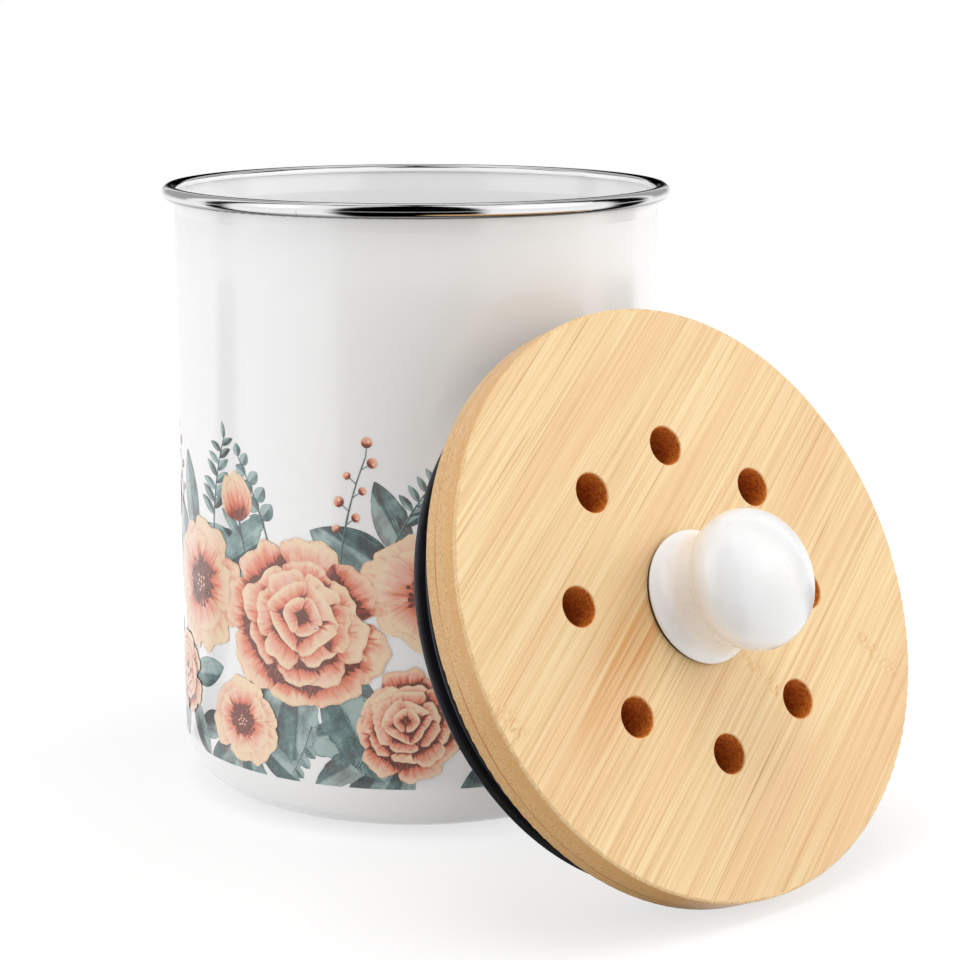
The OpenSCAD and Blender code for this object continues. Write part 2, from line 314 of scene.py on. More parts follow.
class EffectGroup:
    """A shader node group under construction."""

    def __init__(self, name: str, **inputs: Value) -> None:
        """Makes the group and its input sockets.

        Args:
            name: The group's name.
            **inputs: Each input's default, by name with spaces written as
                underscores; a tuple makes a vector input.
        """
        self.tree = bpy.data.node_groups.new(name, "ShaderNodeTree")
        for label, default in inputs.items():
            kind = "NodeSocketVector" if isinstance(default, tuple) else "NodeSocketFloat"
            socket = self.tree.interface.new_socket(label.replace("_", " "), in_out="INPUT", socket_type=kind)
            socket.default_value = default
        self.graph = Graph(self.tree)
        self.inputs = self.tree.nodes.new("NodeGroupInput").outputs

    def giving(self, **outputs: Socket) -> bpy.types.NodeTree:
        """Ends the group with its outputs, which are all numbers.

        Args:
            **outputs: Each output, by its name.

        Returns:
            The group's tree.
        """
        for label in outputs:
            self.tree.interface.new_socket(label, in_out="OUTPUT", socket_type="NodeSocketFloat")
        self.graph.fit(self.tree.nodes.new("NodeGroupOutput"), **outputs)
        return self.tree


def polar_group() -> bpy.types.NodeTree:
    """Builds the group that turns a place into angle, radius and height round Z.

    Returns:
        The group's tree, with the angle in radians.
    """
    effect = EffectGroup("polar_place", Vector=ORIGIN)
    graph = effect.graph
    x, y, z = graph.separate(effect.inputs["Vector"])
    return effect.giving(Angle=graph.math("ARCTAN2", y, x),
                         Radius=graph.math("SQRT", graph.squares(x, y)),
                         Height=z)


def handling_group() -> bpy.types.NodeTree:
    """Builds the group of faint smears, dust and fine ripple that handling leaves.

    Returns:
        The group's tree.  Its vector is in millimetres.
    """
    effect = EffectGroup("handling_marks", Vector=ORIGIN, Smear_Size=30.0, Ripple_Size=4.0)
    graph, given = effect.graph, effect.inputs
    place = given["Vector"]
    smear_at = graph.scaled(place, graph.over(1.0, given["Smear Size"]))
    ripple_at = graph.scaled(place, graph.over(1.0, given["Ripple Size"]))
    return effect.giving(Smear=graph.noise(smear_at, detail=4.0, rough=0.6),
                         Ripple=graph.noise(ripple_at, detail=1.0),
                         Dust=graph.smooth(graph.noise(place, scale=1.9, detail=1.0), 0.70, 0.78))


def fibre_group() -> bpy.types.NodeTree:
    """Builds the group for laminated bamboo: strips, plies, fibres and bundles.

    Its vector is in millimetres, with x along the grain, y across it and z out
    of the board, so a cut face shows long streaks and a cut end shows dots.

    Returns:
        The group's tree.
    """
    effect = EffectGroup("bamboo_fibre", Vector=ORIGIN, Strip_Width=21.5, Ply_Height=4.5, Fibre_Width=0.62)
    graph, given = effect.graph, effect.inputs
    along, across, out = graph.separate(given["Vector"])
    ply = graph.math("FLOOR", graph.over(out, given["Ply Height"]))
    seam_step, strips_a_ply, longest_slide = 7.7, 31.0, 900.0
    lane = graph.line(ply, seam_step, across)
    strip_place = graph.over(lane, given["Strip Width"])
    slide, tint, warmth = graph.dice(graph.line(ply, strips_a_ply, graph.math("FLOOR", strip_place)))
    run = graph.line(slide, longest_slide, along)

    def grain(width: Value, length: float, detail: float) -> Socket:
        """Noise stretched along the grain, of one width and length."""
        place = graph.combine(graph.over(run, length), graph.over(lane, width), graph.over(out, width))
        return graph.noise(place, detail=detail, rough=0.55)

    fibre = given["Fibre Width"]
    bundle_at = graph.combine(graph.over(run, 160.0), lane, out)
    bundle = graph.add("ShaderNodeTexVoronoi", {"Vector": bundle_at, "Scale": graph.over(0.72, fibre)})
    off_middle = graph.gap(graph.math("FRACT", strip_place), 0.5)
    return effect.giving(
        Broad=grain(13.0, 150.0, 2.0),
        Streak=grain(graph.times(fibre, 3.6), 95.0, 3.0),
        Fine=grain(graph.times(fibre, 0.8), 60.0, 2.0),
        Hairline=graph.smooth(grain(graph.times(fibre, 0.85), 75.0, 1.0), 0.60, 0.76),
        Bundle=graph.smooth(bundle.outputs["Distance"], 0.16, 0.40, 1.0, 0.0),
        Tint=tint,
        Warmth=warmth,
        Seam=graph.smooth(off_middle, 0.490, 0.497))


def knuckle_group() -> bpy.types.NodeTree:
    """Builds the group for one knuckle of a culm: a speckled band across a strip.

    Its inputs give the band's place along the grain and its two ends across it.

    Returns:
        The group's tree, with the band's mask and its light and dark speckles.
    """
    effect = EffectGroup("bamboo_knuckle", Vector=ORIGIN, Along=0.0, From=-10.0, To=10.0, Reach=4.0)
    graph, given = effect.graph, effect.inputs
    along, across, out = graph.separate(given["Vector"])
    wander = graph.line(graph.noise(graph.combine(0.0, across), scale=0.16), 7.0, -3.5)
    near = graph.over(graph.gap(graph.plus(along, wander), given["Along"]), given["Reach"])
    inside = graph.math("MINIMUM", graph.minus(across, given["From"]), graph.minus(given["To"], across))
    band = graph.times(graph.smooth(near, 0.2, 1.0, 1.0, 0.0), graph.smooth(inside, 0.0, 1.6))
    speckle_at = graph.combine(graph.times(along, 0.45), graph.times(across, 1.35), graph.times(out, 1.3))
    speckle = graph.noise(speckle_at, rough=0.6)
    return effect.giving(Band=band,
                         Light=graph.times(band, graph.smooth(speckle, 0.52, 0.66)),
                         Dark=graph.times(band, graph.smooth(speckle, 0.33, 0.46, 1.0, 0.0)))


def ring_of_holes_group() -> bpy.types.NodeTree:
    """Builds the group that measures how far a place is from a ring of holes.

    Returns:
        The group's tree, with the distance to the nearest hole's centre.
    """
    effect = EffectGroup("ring_of_holes", Angle=0.0, Radius=0.0, Count=8.0, Turn=0.0, Circle_Radius=46.8)
    graph, given = effect.graph, effect.inputs
    pitch = graph.over(math.tau, given["Count"])
    turned = graph.minus(given["Angle"], given["Turn"])
    nearest = graph.times(graph.math("ROUND", graph.over(turned, pitch)), pitch)
    off = graph.minus(turned, nearest)
    side = graph.times(given["Radius"], graph.math("SINE", off))
    reach = graph.minus(graph.times(given["Radius"], graph.math("COSINE", off)), given["Circle Radius"])
    return effect.giving(Distance=graph.math("SQRT", graph.squares(side, reach)))


def watercolour_group() -> bpy.types.NodeTree:
    """Builds the group for a brushed wash: streaks, pooled rims and granulation.

    "Wash" is the shape's own place, across, along and out to its edge, and
    "Paper" is the place on the wall in millimetres.

    Returns:
        The group's tree.
    """
    effect = EffectGroup("watercolour_wash", Wash=ORIGIN, Paper=ORIGIN, Seed=0.0, Stroke_Count=7.0)
    graph, given = effect.graph, effect.inputs
    across, along, edge = graph.separate(given["Wash"])
    paper, seed = given["Paper"], given["Seed"]
    fan = graph.over(across, graph.line(along, 0.6, 0.6))
    stroke = graph.combine(graph.times(fan, given["Stroke Count"]), graph.times(along, 1.3),
                           graph.times(seed, 37.0))
    broken = graph.smooth(graph.noise(paper, scale=0.42, detail=1.0), 0.42, 0.58)
    bloom_at = graph.moved(paper, graph.combine(0.0, 0.0, graph.times(seed, 90.0)))
    return effect.giving(Streak=graph.noise(stroke, detail=3.0, rough=0.6),
                         Rim=graph.times(graph.smooth(edge, 0.90, 0.98), broken),
                         Grain=graph.noise(paper, scale=2.6, detail=3.0, rough=0.7),
                         Bloom=graph.noise(bloom_at, scale=0.17, detail=3.0, rough=0.55))


@dataclass
class Effects:
    """The shared shader node groups, each built once."""

    polar: bpy.types.NodeTree = field(default_factory=polar_group)
    handling: bpy.types.NodeTree = field(default_factory=handling_group)
    fibre: bpy.types.NodeTree = field(default_factory=fibre_group)
    knuckle: bpy.types.NodeTree = field(default_factory=knuckle_group)
    holes: bpy.types.NodeTree = field(default_factory=ring_of_holes_group)
    wash: bpy.types.NodeTree = field(default_factory=watercolour_group)


# --------------------------------------------------------------------- finishes

@dataclass(frozen=True)
class LidFrame:
    """Where the lid lies: the middle of the disc's underside and the lid's axis."""

    centre: Vector
    axis: Vector

    @classmethod
    def of_lid(cls, joints: list[dict], disc: bpy.types.Object) -> "LidFrame":
        """Finds the lid's frame from the thumb nut's joint and the disc.

        Args:
            joints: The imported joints.
            disc: The bamboo disc.

        Returns:
            The lid's frame.
        """
        joint = next(entry for entry in joints if entry["name"] == "thumb_nut_turn")
        axis = Vector(joint["axis"]).normalized()
        place = Vector(joint["pos_m"])
        underside = min((corner.co - place).dot(axis) for corner in disc.data.vertices)
        return cls(place + axis * underside, axis)

    def turned(self, degrees: float) -> Matrix:
        """Gives the frame with x turned about the lid's axis from straight downhill.

        Args:
            degrees: The turn from downhill, counterclockwise seen from the knob.

        Returns:
            The frame's matrix, whose z is the lid's axis.
        """
        downhill = Vector((self.axis.z, 0.0, -self.axis.x))
        sideways = self.axis.cross(downhill)
        turn = Matrix((downhill, sideways, self.axis)).transposed()
        turn = turn @ Matrix.Rotation(math.radians(degrees), 3, "Z")
        return Matrix.Translation(self.centre) @ turn.to_4x4()


def shade(colour: Colour, shares: float | Colour) -> Colour:
    """Darkens a colour.

    Args:
        colour: The colour.
        shares: One share of it, or a share for each of its three values.

    Returns:
        The darker colour.
    """
    if isinstance(shares, float):
        shares = (shares, shares, shares)
    return tuple(level * share for level, share in zip(colour, shares))


@dataclass(frozen=True)
class Finish:
    """A named surface finish that builds its own material."""

    name: str
    effects: Effects
    colour: Colour
    roughness: float

    def build(self) -> bpy.types.Material:
        """Builds the material: a Principled shader dressed by the finish's own nodes.

        Returns:
            The material.
        """
        material = bpy.data.materials.new(self.name)
        material.use_nodes = True
        graph = Graph(material.node_tree)
        shader = material.node_tree.nodes["Principled BSDF"]
        graph.fit(shader, Base_Color=self.colour, Roughness=self.roughness)
        self.dress(graph, shader)
        return material

    def dress(self, graph: Graph, shader: bpy.types.Node) -> None:
        """Adds what the finish has beyond its plain colour; each finish has its own."""
        raise NotImplementedError

    def gloss(self, graph: Graph, value: Socket, dulled: float, high: float = 0.7) -> Socket:
        """Gives a roughness that grows to dulled times its own as a noise rises to high."""
        return graph.smooth(value, 0.3, high, self.roughness, self.roughness * dulled)


@dataclass(frozen=True)
class HandledFinish(Finish):
    """A smooth surface that handling stains and dulls a little, over a fine ripple."""

    SMEAR_SIZE = 16.0  # mm
    RIPPLE_SIZE = 0.35  # mm
    RIPPLE_DEPTH = 0.03  # mm
    RIPPLE_STRENGTH = 0.6
    STAIN = 0.9  # share of the colour that is left under a smear
    DULLED = 1.3  # roughness under a smear, as a share of the clean one
    DULL_AT = 0.7  # where in the smears it is fully dulled

    def dress(self, graph: Graph, shader: bpy.types.Node) -> None:
        """Adds the stain, the change of gloss and the ripple.

        Args:
            graph: The material's graph.
            shader: The material's shader.
        """
        marks = graph.group(self.effects.handling, Vector=graph.place_in(), Smear_Size=self.SMEAR_SIZE,
                            Ripple_Size=self.RIPPLE_SIZE)
        graph.fit(shader, Base_Color=self.stained(graph, marks),
                  Roughness=self.gloss(graph, marks["Smear"], self.DULLED, self.DULL_AT),
                  Normal=graph.bump(marks["Ripple"], self.RIPPLE_DEPTH, self.RIPPLE_STRENGTH))

    def stained(self, graph: Graph, marks: bpy.types.NodeOutputs) -> Socket:
        """Gives the colour with its smears."""
        return graph.mix(self.colour, shade(self.colour, self.STAIN), graph.smooth(marks["Smear"], 0.35, 0.7))


@dataclass(frozen=True)
class Enamel(HandledFinish):
    """Glossy white vitreous enamel with a faint orange peel."""

    SMEAR_SIZE = 46.0
    RIPPLE_SIZE = 3.4
    RIPPLE_DEPTH = 0.02
    RIPPLE_STRENGTH = 0.35
    STAIN = 0.985
    DULLED = 1.5
    DULL_AT = 0.75

    def dress(self, graph: Graph, shader: bpy.types.Node) -> None:
        """Adds the glass coat over the peel and the slight change of gloss."""
        super().dress(graph, shader)
        graph.fit(shader, Coat_Weight=0.6, Coat_Roughness=0.05, IOR=1.52)


@dataclass(frozen=True)
class Porcelain(HandledFinish):
    """White glazed porcelain with a slow ripple."""

    SMEAR_SIZE = 18.0
    RIPPLE_SIZE = 6.0
    RIPPLE_DEPTH = 0.02
    RIPPLE_STRENGTH = 0.3
    STAIN = (1.0, 0.992, 0.982)
    DULLED = 1.4

    def dress(self, graph: Graph, shader: bpy.types.Node) -> None:
        """Adds the glaze's clear coat."""
        super().dress(graph, shader)
        graph.fit(shader, Coat_Weight=0.8, Coat_Roughness=0.2)


@dataclass(frozen=True)
class MouldedPlastic(HandledFinish):
    """Injection-moulded plastic with a fine spark texture, flow tone and finger marks."""


@dataclass(frozen=True)
class Silicone(HandledFinish):
    """Black silicone rubber with a soft bloom and a little lint."""

    sheen: float = 0.35

    SMEAR_SIZE = 24.0
    RIPPLE_SIZE = 0.9
    RIPPLE_DEPTH = 0.015
    RIPPLE_STRENGTH = 0.5
    DULLED = 1.25
    BLOOM = srgb(52, 54, 64)
    LINT = srgb(190, 190, 195)

    def dress(self, graph: Graph, shader: bpy.types.Node) -> None:
        """Adds the rubber's velvety edge light."""
        super().dress(graph, shader)
        graph.fit(shader, Sheen_Weight=self.sheen, Sheen_Roughness=0.4, Sheen_Tint=srgb(170, 180, 215))

    def stained(self, graph: Graph, marks: bpy.types.NodeOutputs) -> Socket:
        """Gives the colour with its matt bloom and its lint specks."""
        return graph.layered(self.colour, (self.BLOOM, graph.smooth(marks["Smear"], 0.4, 0.75), 0.5),
                             (self.LINT, marks["Dust"], 0.10))


@dataclass(frozen=True)
class RimSteel(Finish):
    """Polished stainless band, rolled round the mouth, with its one butt seam.

    The enamel laps over the band's inner edge, up to the given height.
    """

    enamel: Colour
    bead_radius: float = 81.1
    bead_height: float = 198.6
    lap_height: float = 199.75
    seam_bearing: float = -66.2
    seam_width: float = 0.13

    def dress(self, graph: Graph, shader: bpy.types.Node) -> None:
        """Adds polishing lines, the seam, the lap of enamel and the painted shade on the lower roll.

        Args:
            graph: The material's graph.
            shader: The material's shader.
        """
        polar = graph.group(self.effects.polar, Vector=graph.place_in())
        angle, radius, height = polar["Angle"], polar["Radius"], polar["Height"]
        lines = graph.noise(graph.combine(graph.times(angle, 2.2), graph.times(radius, 5.0),
                                          graph.times(height, 5.0)))
        arc = graph.times(graph.gap(angle, math.radians(self.seam_bearing)), radius)
        seam = graph.times(graph.smooth(arc, self.seam_width / 2, self.seam_width, 1.0, 0.0),
                           graph.smooth(height, self.bead_height - 0.9, self.bead_height, 1.0, 0.0))
        lap = graph.times(graph.smooth(radius, self.bead_radius - 0.1, self.bead_radius, 1.0, 0.0),
                          graph.smooth(height, self.lap_height, self.lap_height + 0.15, 1.0, 0.0))
        # Painted shade: the lower roll darkens towards the band's bottom edge in place of the shade under the
        # rim, which also dims what the roll reflects.
        painted_shade_roll = graph.smooth(height, self.bead_height - 2.0, self.bead_height - 0.8, 0.95, 0.0)
        steel = graph.mix(self.colour, shade(self.colour, 0.5), seam)
        steel = graph.mix(steel, shade(self.colour, 0.14), painted_shade_roll)
        relief = graph.minus(graph.times(lines, 0.12), seam)
        graph.fit(shader, Base_Color=graph.mix(steel, self.enamel, lap), Metallic=graph.minus(1.0, lap),
                  Roughness=self.gloss(graph, lines, 1.8), Normal=graph.bump(relief, 0.03, 0.4))


@dataclass(frozen=True)
class Knuckle:
    """One knuckle on the lid's face, in millimetres in the grain's frame."""

    along: float
    start: float
    end: float


@dataclass(frozen=True)
class Bamboo(Finish):
    """Laminated bamboo under a satin lacquer; self.colour is its mean colour."""

    lid: LidFrame
    grain_turn: float
    light: Colour
    dark: Colour
    blush: Colour
    warm: Colour
    hairline: Colour
    edge: Colour
    disc_radius: float
    face_height: float
    knuckles: tuple[Knuckle, ...] = ()
    ply: float = 4.5
    vent_radius: float = 0.0
    vent_circle: float = 46.8
    vent_count: int = 8
    vent_turn: float = -6.35
    vent_break: float = 0.5
    bore: Colour = srgb(228, 140, 50)
    bore_dark: Colour = srgb(186, 96, 28)
    face_ply: Colour = srgb(222, 166, 96)
    glue: Colour = srgb(190, 112, 44)

    def dress(self, graph: Graph, shader: bpy.types.Node) -> None:
        """Adds the grain, then the knuckles, the cut edge and the vents' bores.

        Args:
            graph: The material's graph.
            shader: The material's shader.
        """
        place = graph.place_in(self.lid.turned(self.grain_turn))
        fibre = graph.group(self.effects.fibre, Vector=place, Ply_Height=self.ply)
        tone = graph.line(fibre["Fine"], 0.55, graph.times(fibre["Streak"], 0.45))
        colour = graph.layered(
            graph.ramp(tone, [(0.37, self.dark), (0.50, self.colour), (0.61, self.light)]),
            (self.light, fibre["Tint"], 0.22),
            (self.dark, fibre["Warmth"], 0.14),
            (self.blush, graph.smooth(fibre["Broad"], 0.46, 0.66), 0.55),
            (self.warm, self.warm_patch(graph, place), graph.smooth(fibre["Streak"], 0.40, 0.60, 1.0, 0.15)),
            (self.hairline, fibre["Bundle"], graph.smooth(fibre["Broad"], 0.40, 0.60, 0.04, 0.20)),
            (self.hairline, fibre["Hairline"], graph.smooth(fibre["Streak"], 0.40, 0.60, 0.70, 0.22)),
            (self.hairline, fibre["Seam"], 0.18))
        relief = graph.line(fibre["Hairline"], -0.6, graph.times(fibre["Fine"], 0.5))
        for mark in self.knuckles:
            band = graph.group(self.effects.knuckle, Vector=place, Along=mark.along, From=mark.start,
                               To=mark.end)
            colour = graph.layered(colour, (self.dark, band["Band"], 0.30), (self.warm, band["Dark"], 0.70),
                                   (self.light, band["Light"], 0.75))
            relief = graph.line(band["Dark"], -0.5, relief)
        polar = graph.group(self.effects.polar, Vector=place)
        colour = self.cut_edge(graph, colour, polar, fibre)
        rough = graph.smooth(tone, 0.3, 0.7, self.roughness * 1.15, self.roughness * 0.9)
        if self.vent_radius:
            bored = self.bored(graph, polar)
            mottle = graph.smooth(graph.noise(place, scale=1.1), 0.34, 0.66)
            colour = graph.mix(colour, graph.mix(self.bore_dark, self.bore, mottle), bored)
            rough = graph.line(bored, 0.3, rough)
        graph.fit(shader, Base_Color=colour, Roughness=rough, Normal=graph.bump(relief, 0.03, 0.5),
                  Coat_Weight=0.25, Coat_Roughness=0.28)

    def warm_patch(self, graph: Graph, place: Socket) -> Socket:
        """Masks the oval of honey-coloured streaks that runs past the knob's foot.

        Args:
            graph: The material's graph.
            place: The place in the grain's frame.

        Returns:
            The mask.
        """
        along, across, _ = graph.separate(place)
        middle_along, middle_across = -34.0, 9.0
        half_length, half_width = 46.0, 13.0
        run = graph.over(graph.minus(along, middle_along), half_length)
        side = graph.over(graph.minus(across, middle_across), half_width)
        return graph.smooth(graph.squares(run, side), 0.0, 1.0, 0.72, 0.0)

    def cut_edge(self, graph: Graph, colour: Socket, polar: bpy.types.NodeOutputs,
                 fibre: bpy.types.NodeOutputs) -> Socket:
        """Darkens the turned edge below its rounding, where the plies show.

        The middle ply shows the ends of its fibre bundles as dark dots, and one
        glue line has opened along part of the edge.

        Args:
            graph: The material's graph.
            colour: The board's colour.
            polar: The polar group's outputs.
            fibre: The fibre group's outputs.

        Returns:
            The colour with its edge.
        """
        height = polar["Height"]
        on_edge = graph.times(graph.smooth(polar["Radius"], self.disc_radius - 0.5, self.disc_radius - 0.1),
                              graph.smooth(height, self.face_height - 0.9, self.face_height - 0.5, 1.0, 0.0))
        above_back = graph.smooth(height, self.ply - 0.1, self.ply + 0.1)
        face = graph.smooth(height, 2 * self.ply - 0.1, 2 * self.ply + 0.1)
        core = graph.times(above_back, graph.minus(1.0, face))
        dots = graph.minus(graph.line(core, 0.50, 0.20), graph.times(face, 0.15))
        around = graph.combine(polar["Angle"])
        wander = graph.line(graph.noise(around, scale=3.0), 0.8, -0.4)
        line = graph.smooth(graph.gap(graph.plus(height, wander), self.ply), 0.14, 0.32, 1.0, 0.0)
        opened = graph.smooth(graph.noise(around, scale=1.3), 0.44, 0.56, 0.3, 1.0)
        edge = graph.mix(self.edge, colour, graph.smooth(fibre["Fine"], 0.36, 0.62, 0.0, 0.5))
        edge = graph.layered(edge, (self.face_ply, face, 0.45), (self.dark, core, 0.55),
                             (self.hairline, fibre["Bundle"], dots), (self.glue, line, opened))
        return graph.mix(colour, edge, on_edge)

    def bored(self, graph: Graph, polar: bpy.types.NodeOutputs) -> Socket:
        """Masks the walls of the vents.

        Args:
            graph: The material's graph.
            polar: The polar group's outputs.

        Returns:
            The mask.
        """
        holes = graph.group(self.effects.holes, Angle=polar["Angle"], Radius=polar["Radius"],
                            Count=float(self.vent_count), Circle_Radius=self.vent_circle,
                            Turn=math.radians(self.vent_turn - self.grain_turn))
        lip = self.vent_radius + self.vent_break
        return graph.smooth(holes["Distance"], lip - 0.35, lip - 0.2, 1.0, 0.0)


@dataclass(frozen=True)
class TurnedMetal(Finish):
    """Turned metal of the fixings, with fine rings from the lathe."""

    lid: LidFrame

    def dress(self, graph: Graph, shader: bpy.types.Node) -> None:
        """Adds the lathe's rings round the lid's axis and a dull film.

        Args:
            graph: The material's graph.
            shader: The material's shader.
        """
        place = graph.place_in(self.lid.turned(0.0))
        polar = graph.group(self.effects.polar, Vector=place)
        rings = graph.noise(graph.combine(polar["Angle"], graph.times(polar["Radius"], 9.0),
                                          graph.times(polar["Height"], 9.0)))
        marks = graph.group(self.effects.handling, Vector=place, Smear_Size=5.0)
        film = graph.smooth(marks["Smear"], 0.45, 0.75, 0.0, 0.35)
        graph.fit(shader, Base_Color=graph.mix(self.colour, shade(self.colour, 0.6), film), Metallic=1.0,
                  Roughness=self.gloss(graph, rings, 1.7), Normal=graph.bump(rings, 0.02, 0.4))


@dataclass(frozen=True)
class CharcoalFelt(Finish):
    """Needled felt loaded with activated charcoal."""

    THREAD = srgb(96, 96, 98)
    GRIT = srgb(16, 16, 17)

    def dress(self, graph: Graph, shader: bpy.types.Node) -> None:
        """Adds tangled fibres, paler binder threads and charcoal grit.

        Args:
            graph: The material's graph.
            shader: The material's shader.
        """
        place = graph.place_in()
        warp = graph.add("ShaderNodeTexNoise", {"Vector": place, "Scale": 0.6, "Detail": 2.0})
        x, y, z = graph.separate(graph.moved(graph.scaled(warp.outputs["Color"], 5.0), place))
        tangle = graph.noise(graph.combine(graph.times(x, 0.5), graph.times(y, 3.4), graph.times(z, 3.4)),
                             detail=4.0, rough=0.65)
        grit = graph.smooth(graph.noise(place, scale=2.4, detail=1.0), 0.56, 0.64)
        colour = graph.layered(self.colour, (self.THREAD, graph.smooth(tangle, 0.58, 0.70), 0.6),
                               (self.GRIT, grit, 0.7))
        height = graph.plus(graph.times(tangle, 0.7), graph.times(grit, 0.3))
        graph.fit(shader, Base_Color=colour, Normal=graph.bump(height, 0.5, 0.8), Sheen_Weight=0.25)


@dataclass(frozen=True)
class Ink(Finish):
    """A brushed colour under the enamel's glass.

    A shape of the print carries its place in the wash, and its tone, depth of
    colour and seed, as two vectors at its points.
    """

    STROKES: ClassVar[float]  # how many brush strokes lie across a shape

    def dress(self, graph: Graph, shader: bpy.types.Node) -> None:
        """Adds the wash and the glass over it.

        Args:
            graph: The material's graph.
            shader: The material's shader.
        """
        wash = graph.attribute("wash")
        tone, depth, seed = graph.separate(graph.attribute("ink"))
        brush = graph.group(self.effects.wash, Wash=wash, Paper=graph.place_in(), Seed=seed,
                            Stroke_Count=self.STROKES)
        colour = self.washed(graph, graph.separate(wash), tone, depth, brush)
        graph.fit(shader, Base_Color=colour, Coat_Weight=0.6, Coat_Roughness=0.05)

    def washed(self, graph: Graph, wash: tuple[Socket, Socket, Socket], tone: Socket, depth: Socket,
               brush: bpy.types.NodeOutputs) -> Socket:
        """Gives the ink's colours; each ink has its own."""
        raise NotImplementedError


@dataclass(frozen=True)
class PetalInk(Ink):
    """Brushed petal colours, from a burgundy throat to a cream tip."""

    throat: Colour = srgb(112, 56, 48)
    deep: Colour = srgb(216, 106, 82)
    cream: Colour = srgb(250, 222, 188)
    blush: Colour = srgb(244, 186, 160)
    pink: Colour = srgb(248, 208, 196)
    rim: Colour = srgb(206, 122, 98)
    grain: Colour = srgb(255, 240, 225)

    STROKES = 6.0

    def washed(self, graph: Graph, wash: tuple[Socket, Socket, Socket], tone: Socket, depth: Socket,
               brush: bpy.types.NodeOutputs) -> Socket:
        """Gives the wash from throat to tip, with its streaks and its broken dark rim.

        Args:
            graph: The material's graph.
            wash: The place across the shape, along it and out to its edge.
            tone: The shape's tone.
            depth: The shape's depth of colour.
            brush: The watercolour group's outputs.

        Returns:
            The colour.
        """
        _, along, out = wash
        pull = graph.line(brush["Streak"], 0.62, -0.31)
        reach = graph.plus(graph.minus(along, depth), pull)
        colour = graph.ramp(reach, [(0.0, self.throat), (0.10, self.throat), (0.15, self.deep),
                                    (0.34, self.colour), (0.58, self.blush), (0.84, self.cream)])
        pale = graph.times(graph.smooth(brush["Bloom"], 0.42, 0.58), tone)
        tip = graph.mix(self.pink, self.cream, graph.smooth(tone, 0.45, 0.75))
        vein = graph.smooth(brush["Streak"], 0.36, 0.45, 1.0, 0.0)
        return graph.layered(
            colour,
            (tip, pale, graph.smooth(reach, 0.16, 0.42)),
            (self.deep, vein, graph.smooth(reach, 0.15, 0.75, 0.50, 0.06)),
            (self.cream, graph.smooth(out, 0.70, 0.90), graph.smooth(reach, 0.10, 0.40, 0.0, 0.45)),
            (self.rim, brush["Rim"], 0.34),
            (self.grain, graph.smooth(brush["Grain"], 0.35, 0.65), 0.10))


@dataclass(frozen=True)
class LeafInk(Ink):
    """Brushed leaf colours, dusty teal with a wine-red blush."""

    dark: Colour = srgb(58, 80, 82)
    pale: Colour = srgb(170, 192, 188)
    wine: Colour = srgb(138, 98, 98)
    grain: Colour = srgb(226, 232, 228)

    STROKES = 4.0

    def washed(self, graph: Graph, wash: tuple[Socket, Socket, Socket], tone: Socket, depth: Socket,
               brush: bpy.types.NodeOutputs) -> Socket:
        """Gives the wash with a darker half, the blush, the streaks and the broken rim.

        Args:
            graph: The material's graph.
            wash: The place across the shape, along it and out to its edge.
            tone: The shape's tone.
            depth: The shape's depth of colour.
            brush: The watercolour group's outputs.

        Returns:
            The colour.
        """
        across, along, _ = wash
        side = graph.smooth(across, -0.10, 0.14, 0.20, -0.14)
        light = graph.plus(graph.line(brush["Bloom"], 0.9, side), graph.line(brush["Streak"], 0.4, -0.2))
        colour = graph.ramp(graph.minus(light, depth),
                            [(0.24, self.dark), (0.46, self.colour), (0.72, self.pale)])
        wine = graph.times(graph.smooth(brush["Bloom"], 0.40, 0.60, 1.0, 0.0), tone)
        return graph.layered(
            colour,
            (self.wine, wine, graph.smooth(along, 0.05, 0.5, 1.0, 0.4)),
            (self.dark, brush["Rim"], 0.45),
            (self.grain, graph.smooth(brush["Grain"], 0.35, 0.65), 0.12))


# -------------------------------------------------------------------- the print

class BloomKind(Enum):
    """The kinds of flower in the print."""

    CAMELLIA = "camellia"
    ANEMONE = "anemone"
    TULIP = "tulip"


class SprigKind(Enum):
    """The kinds of filler sprig in the print."""

    BERRY = "berry"
    WILLOW = "willow"
    EUCALYPTUS = "eucalyptus"


@dataclass(frozen=True)
class Brush:
    """How one shape is inked: its tone, depth of colour, seed and level."""

    tone: float
    depth: float
    seed: float
    level: int


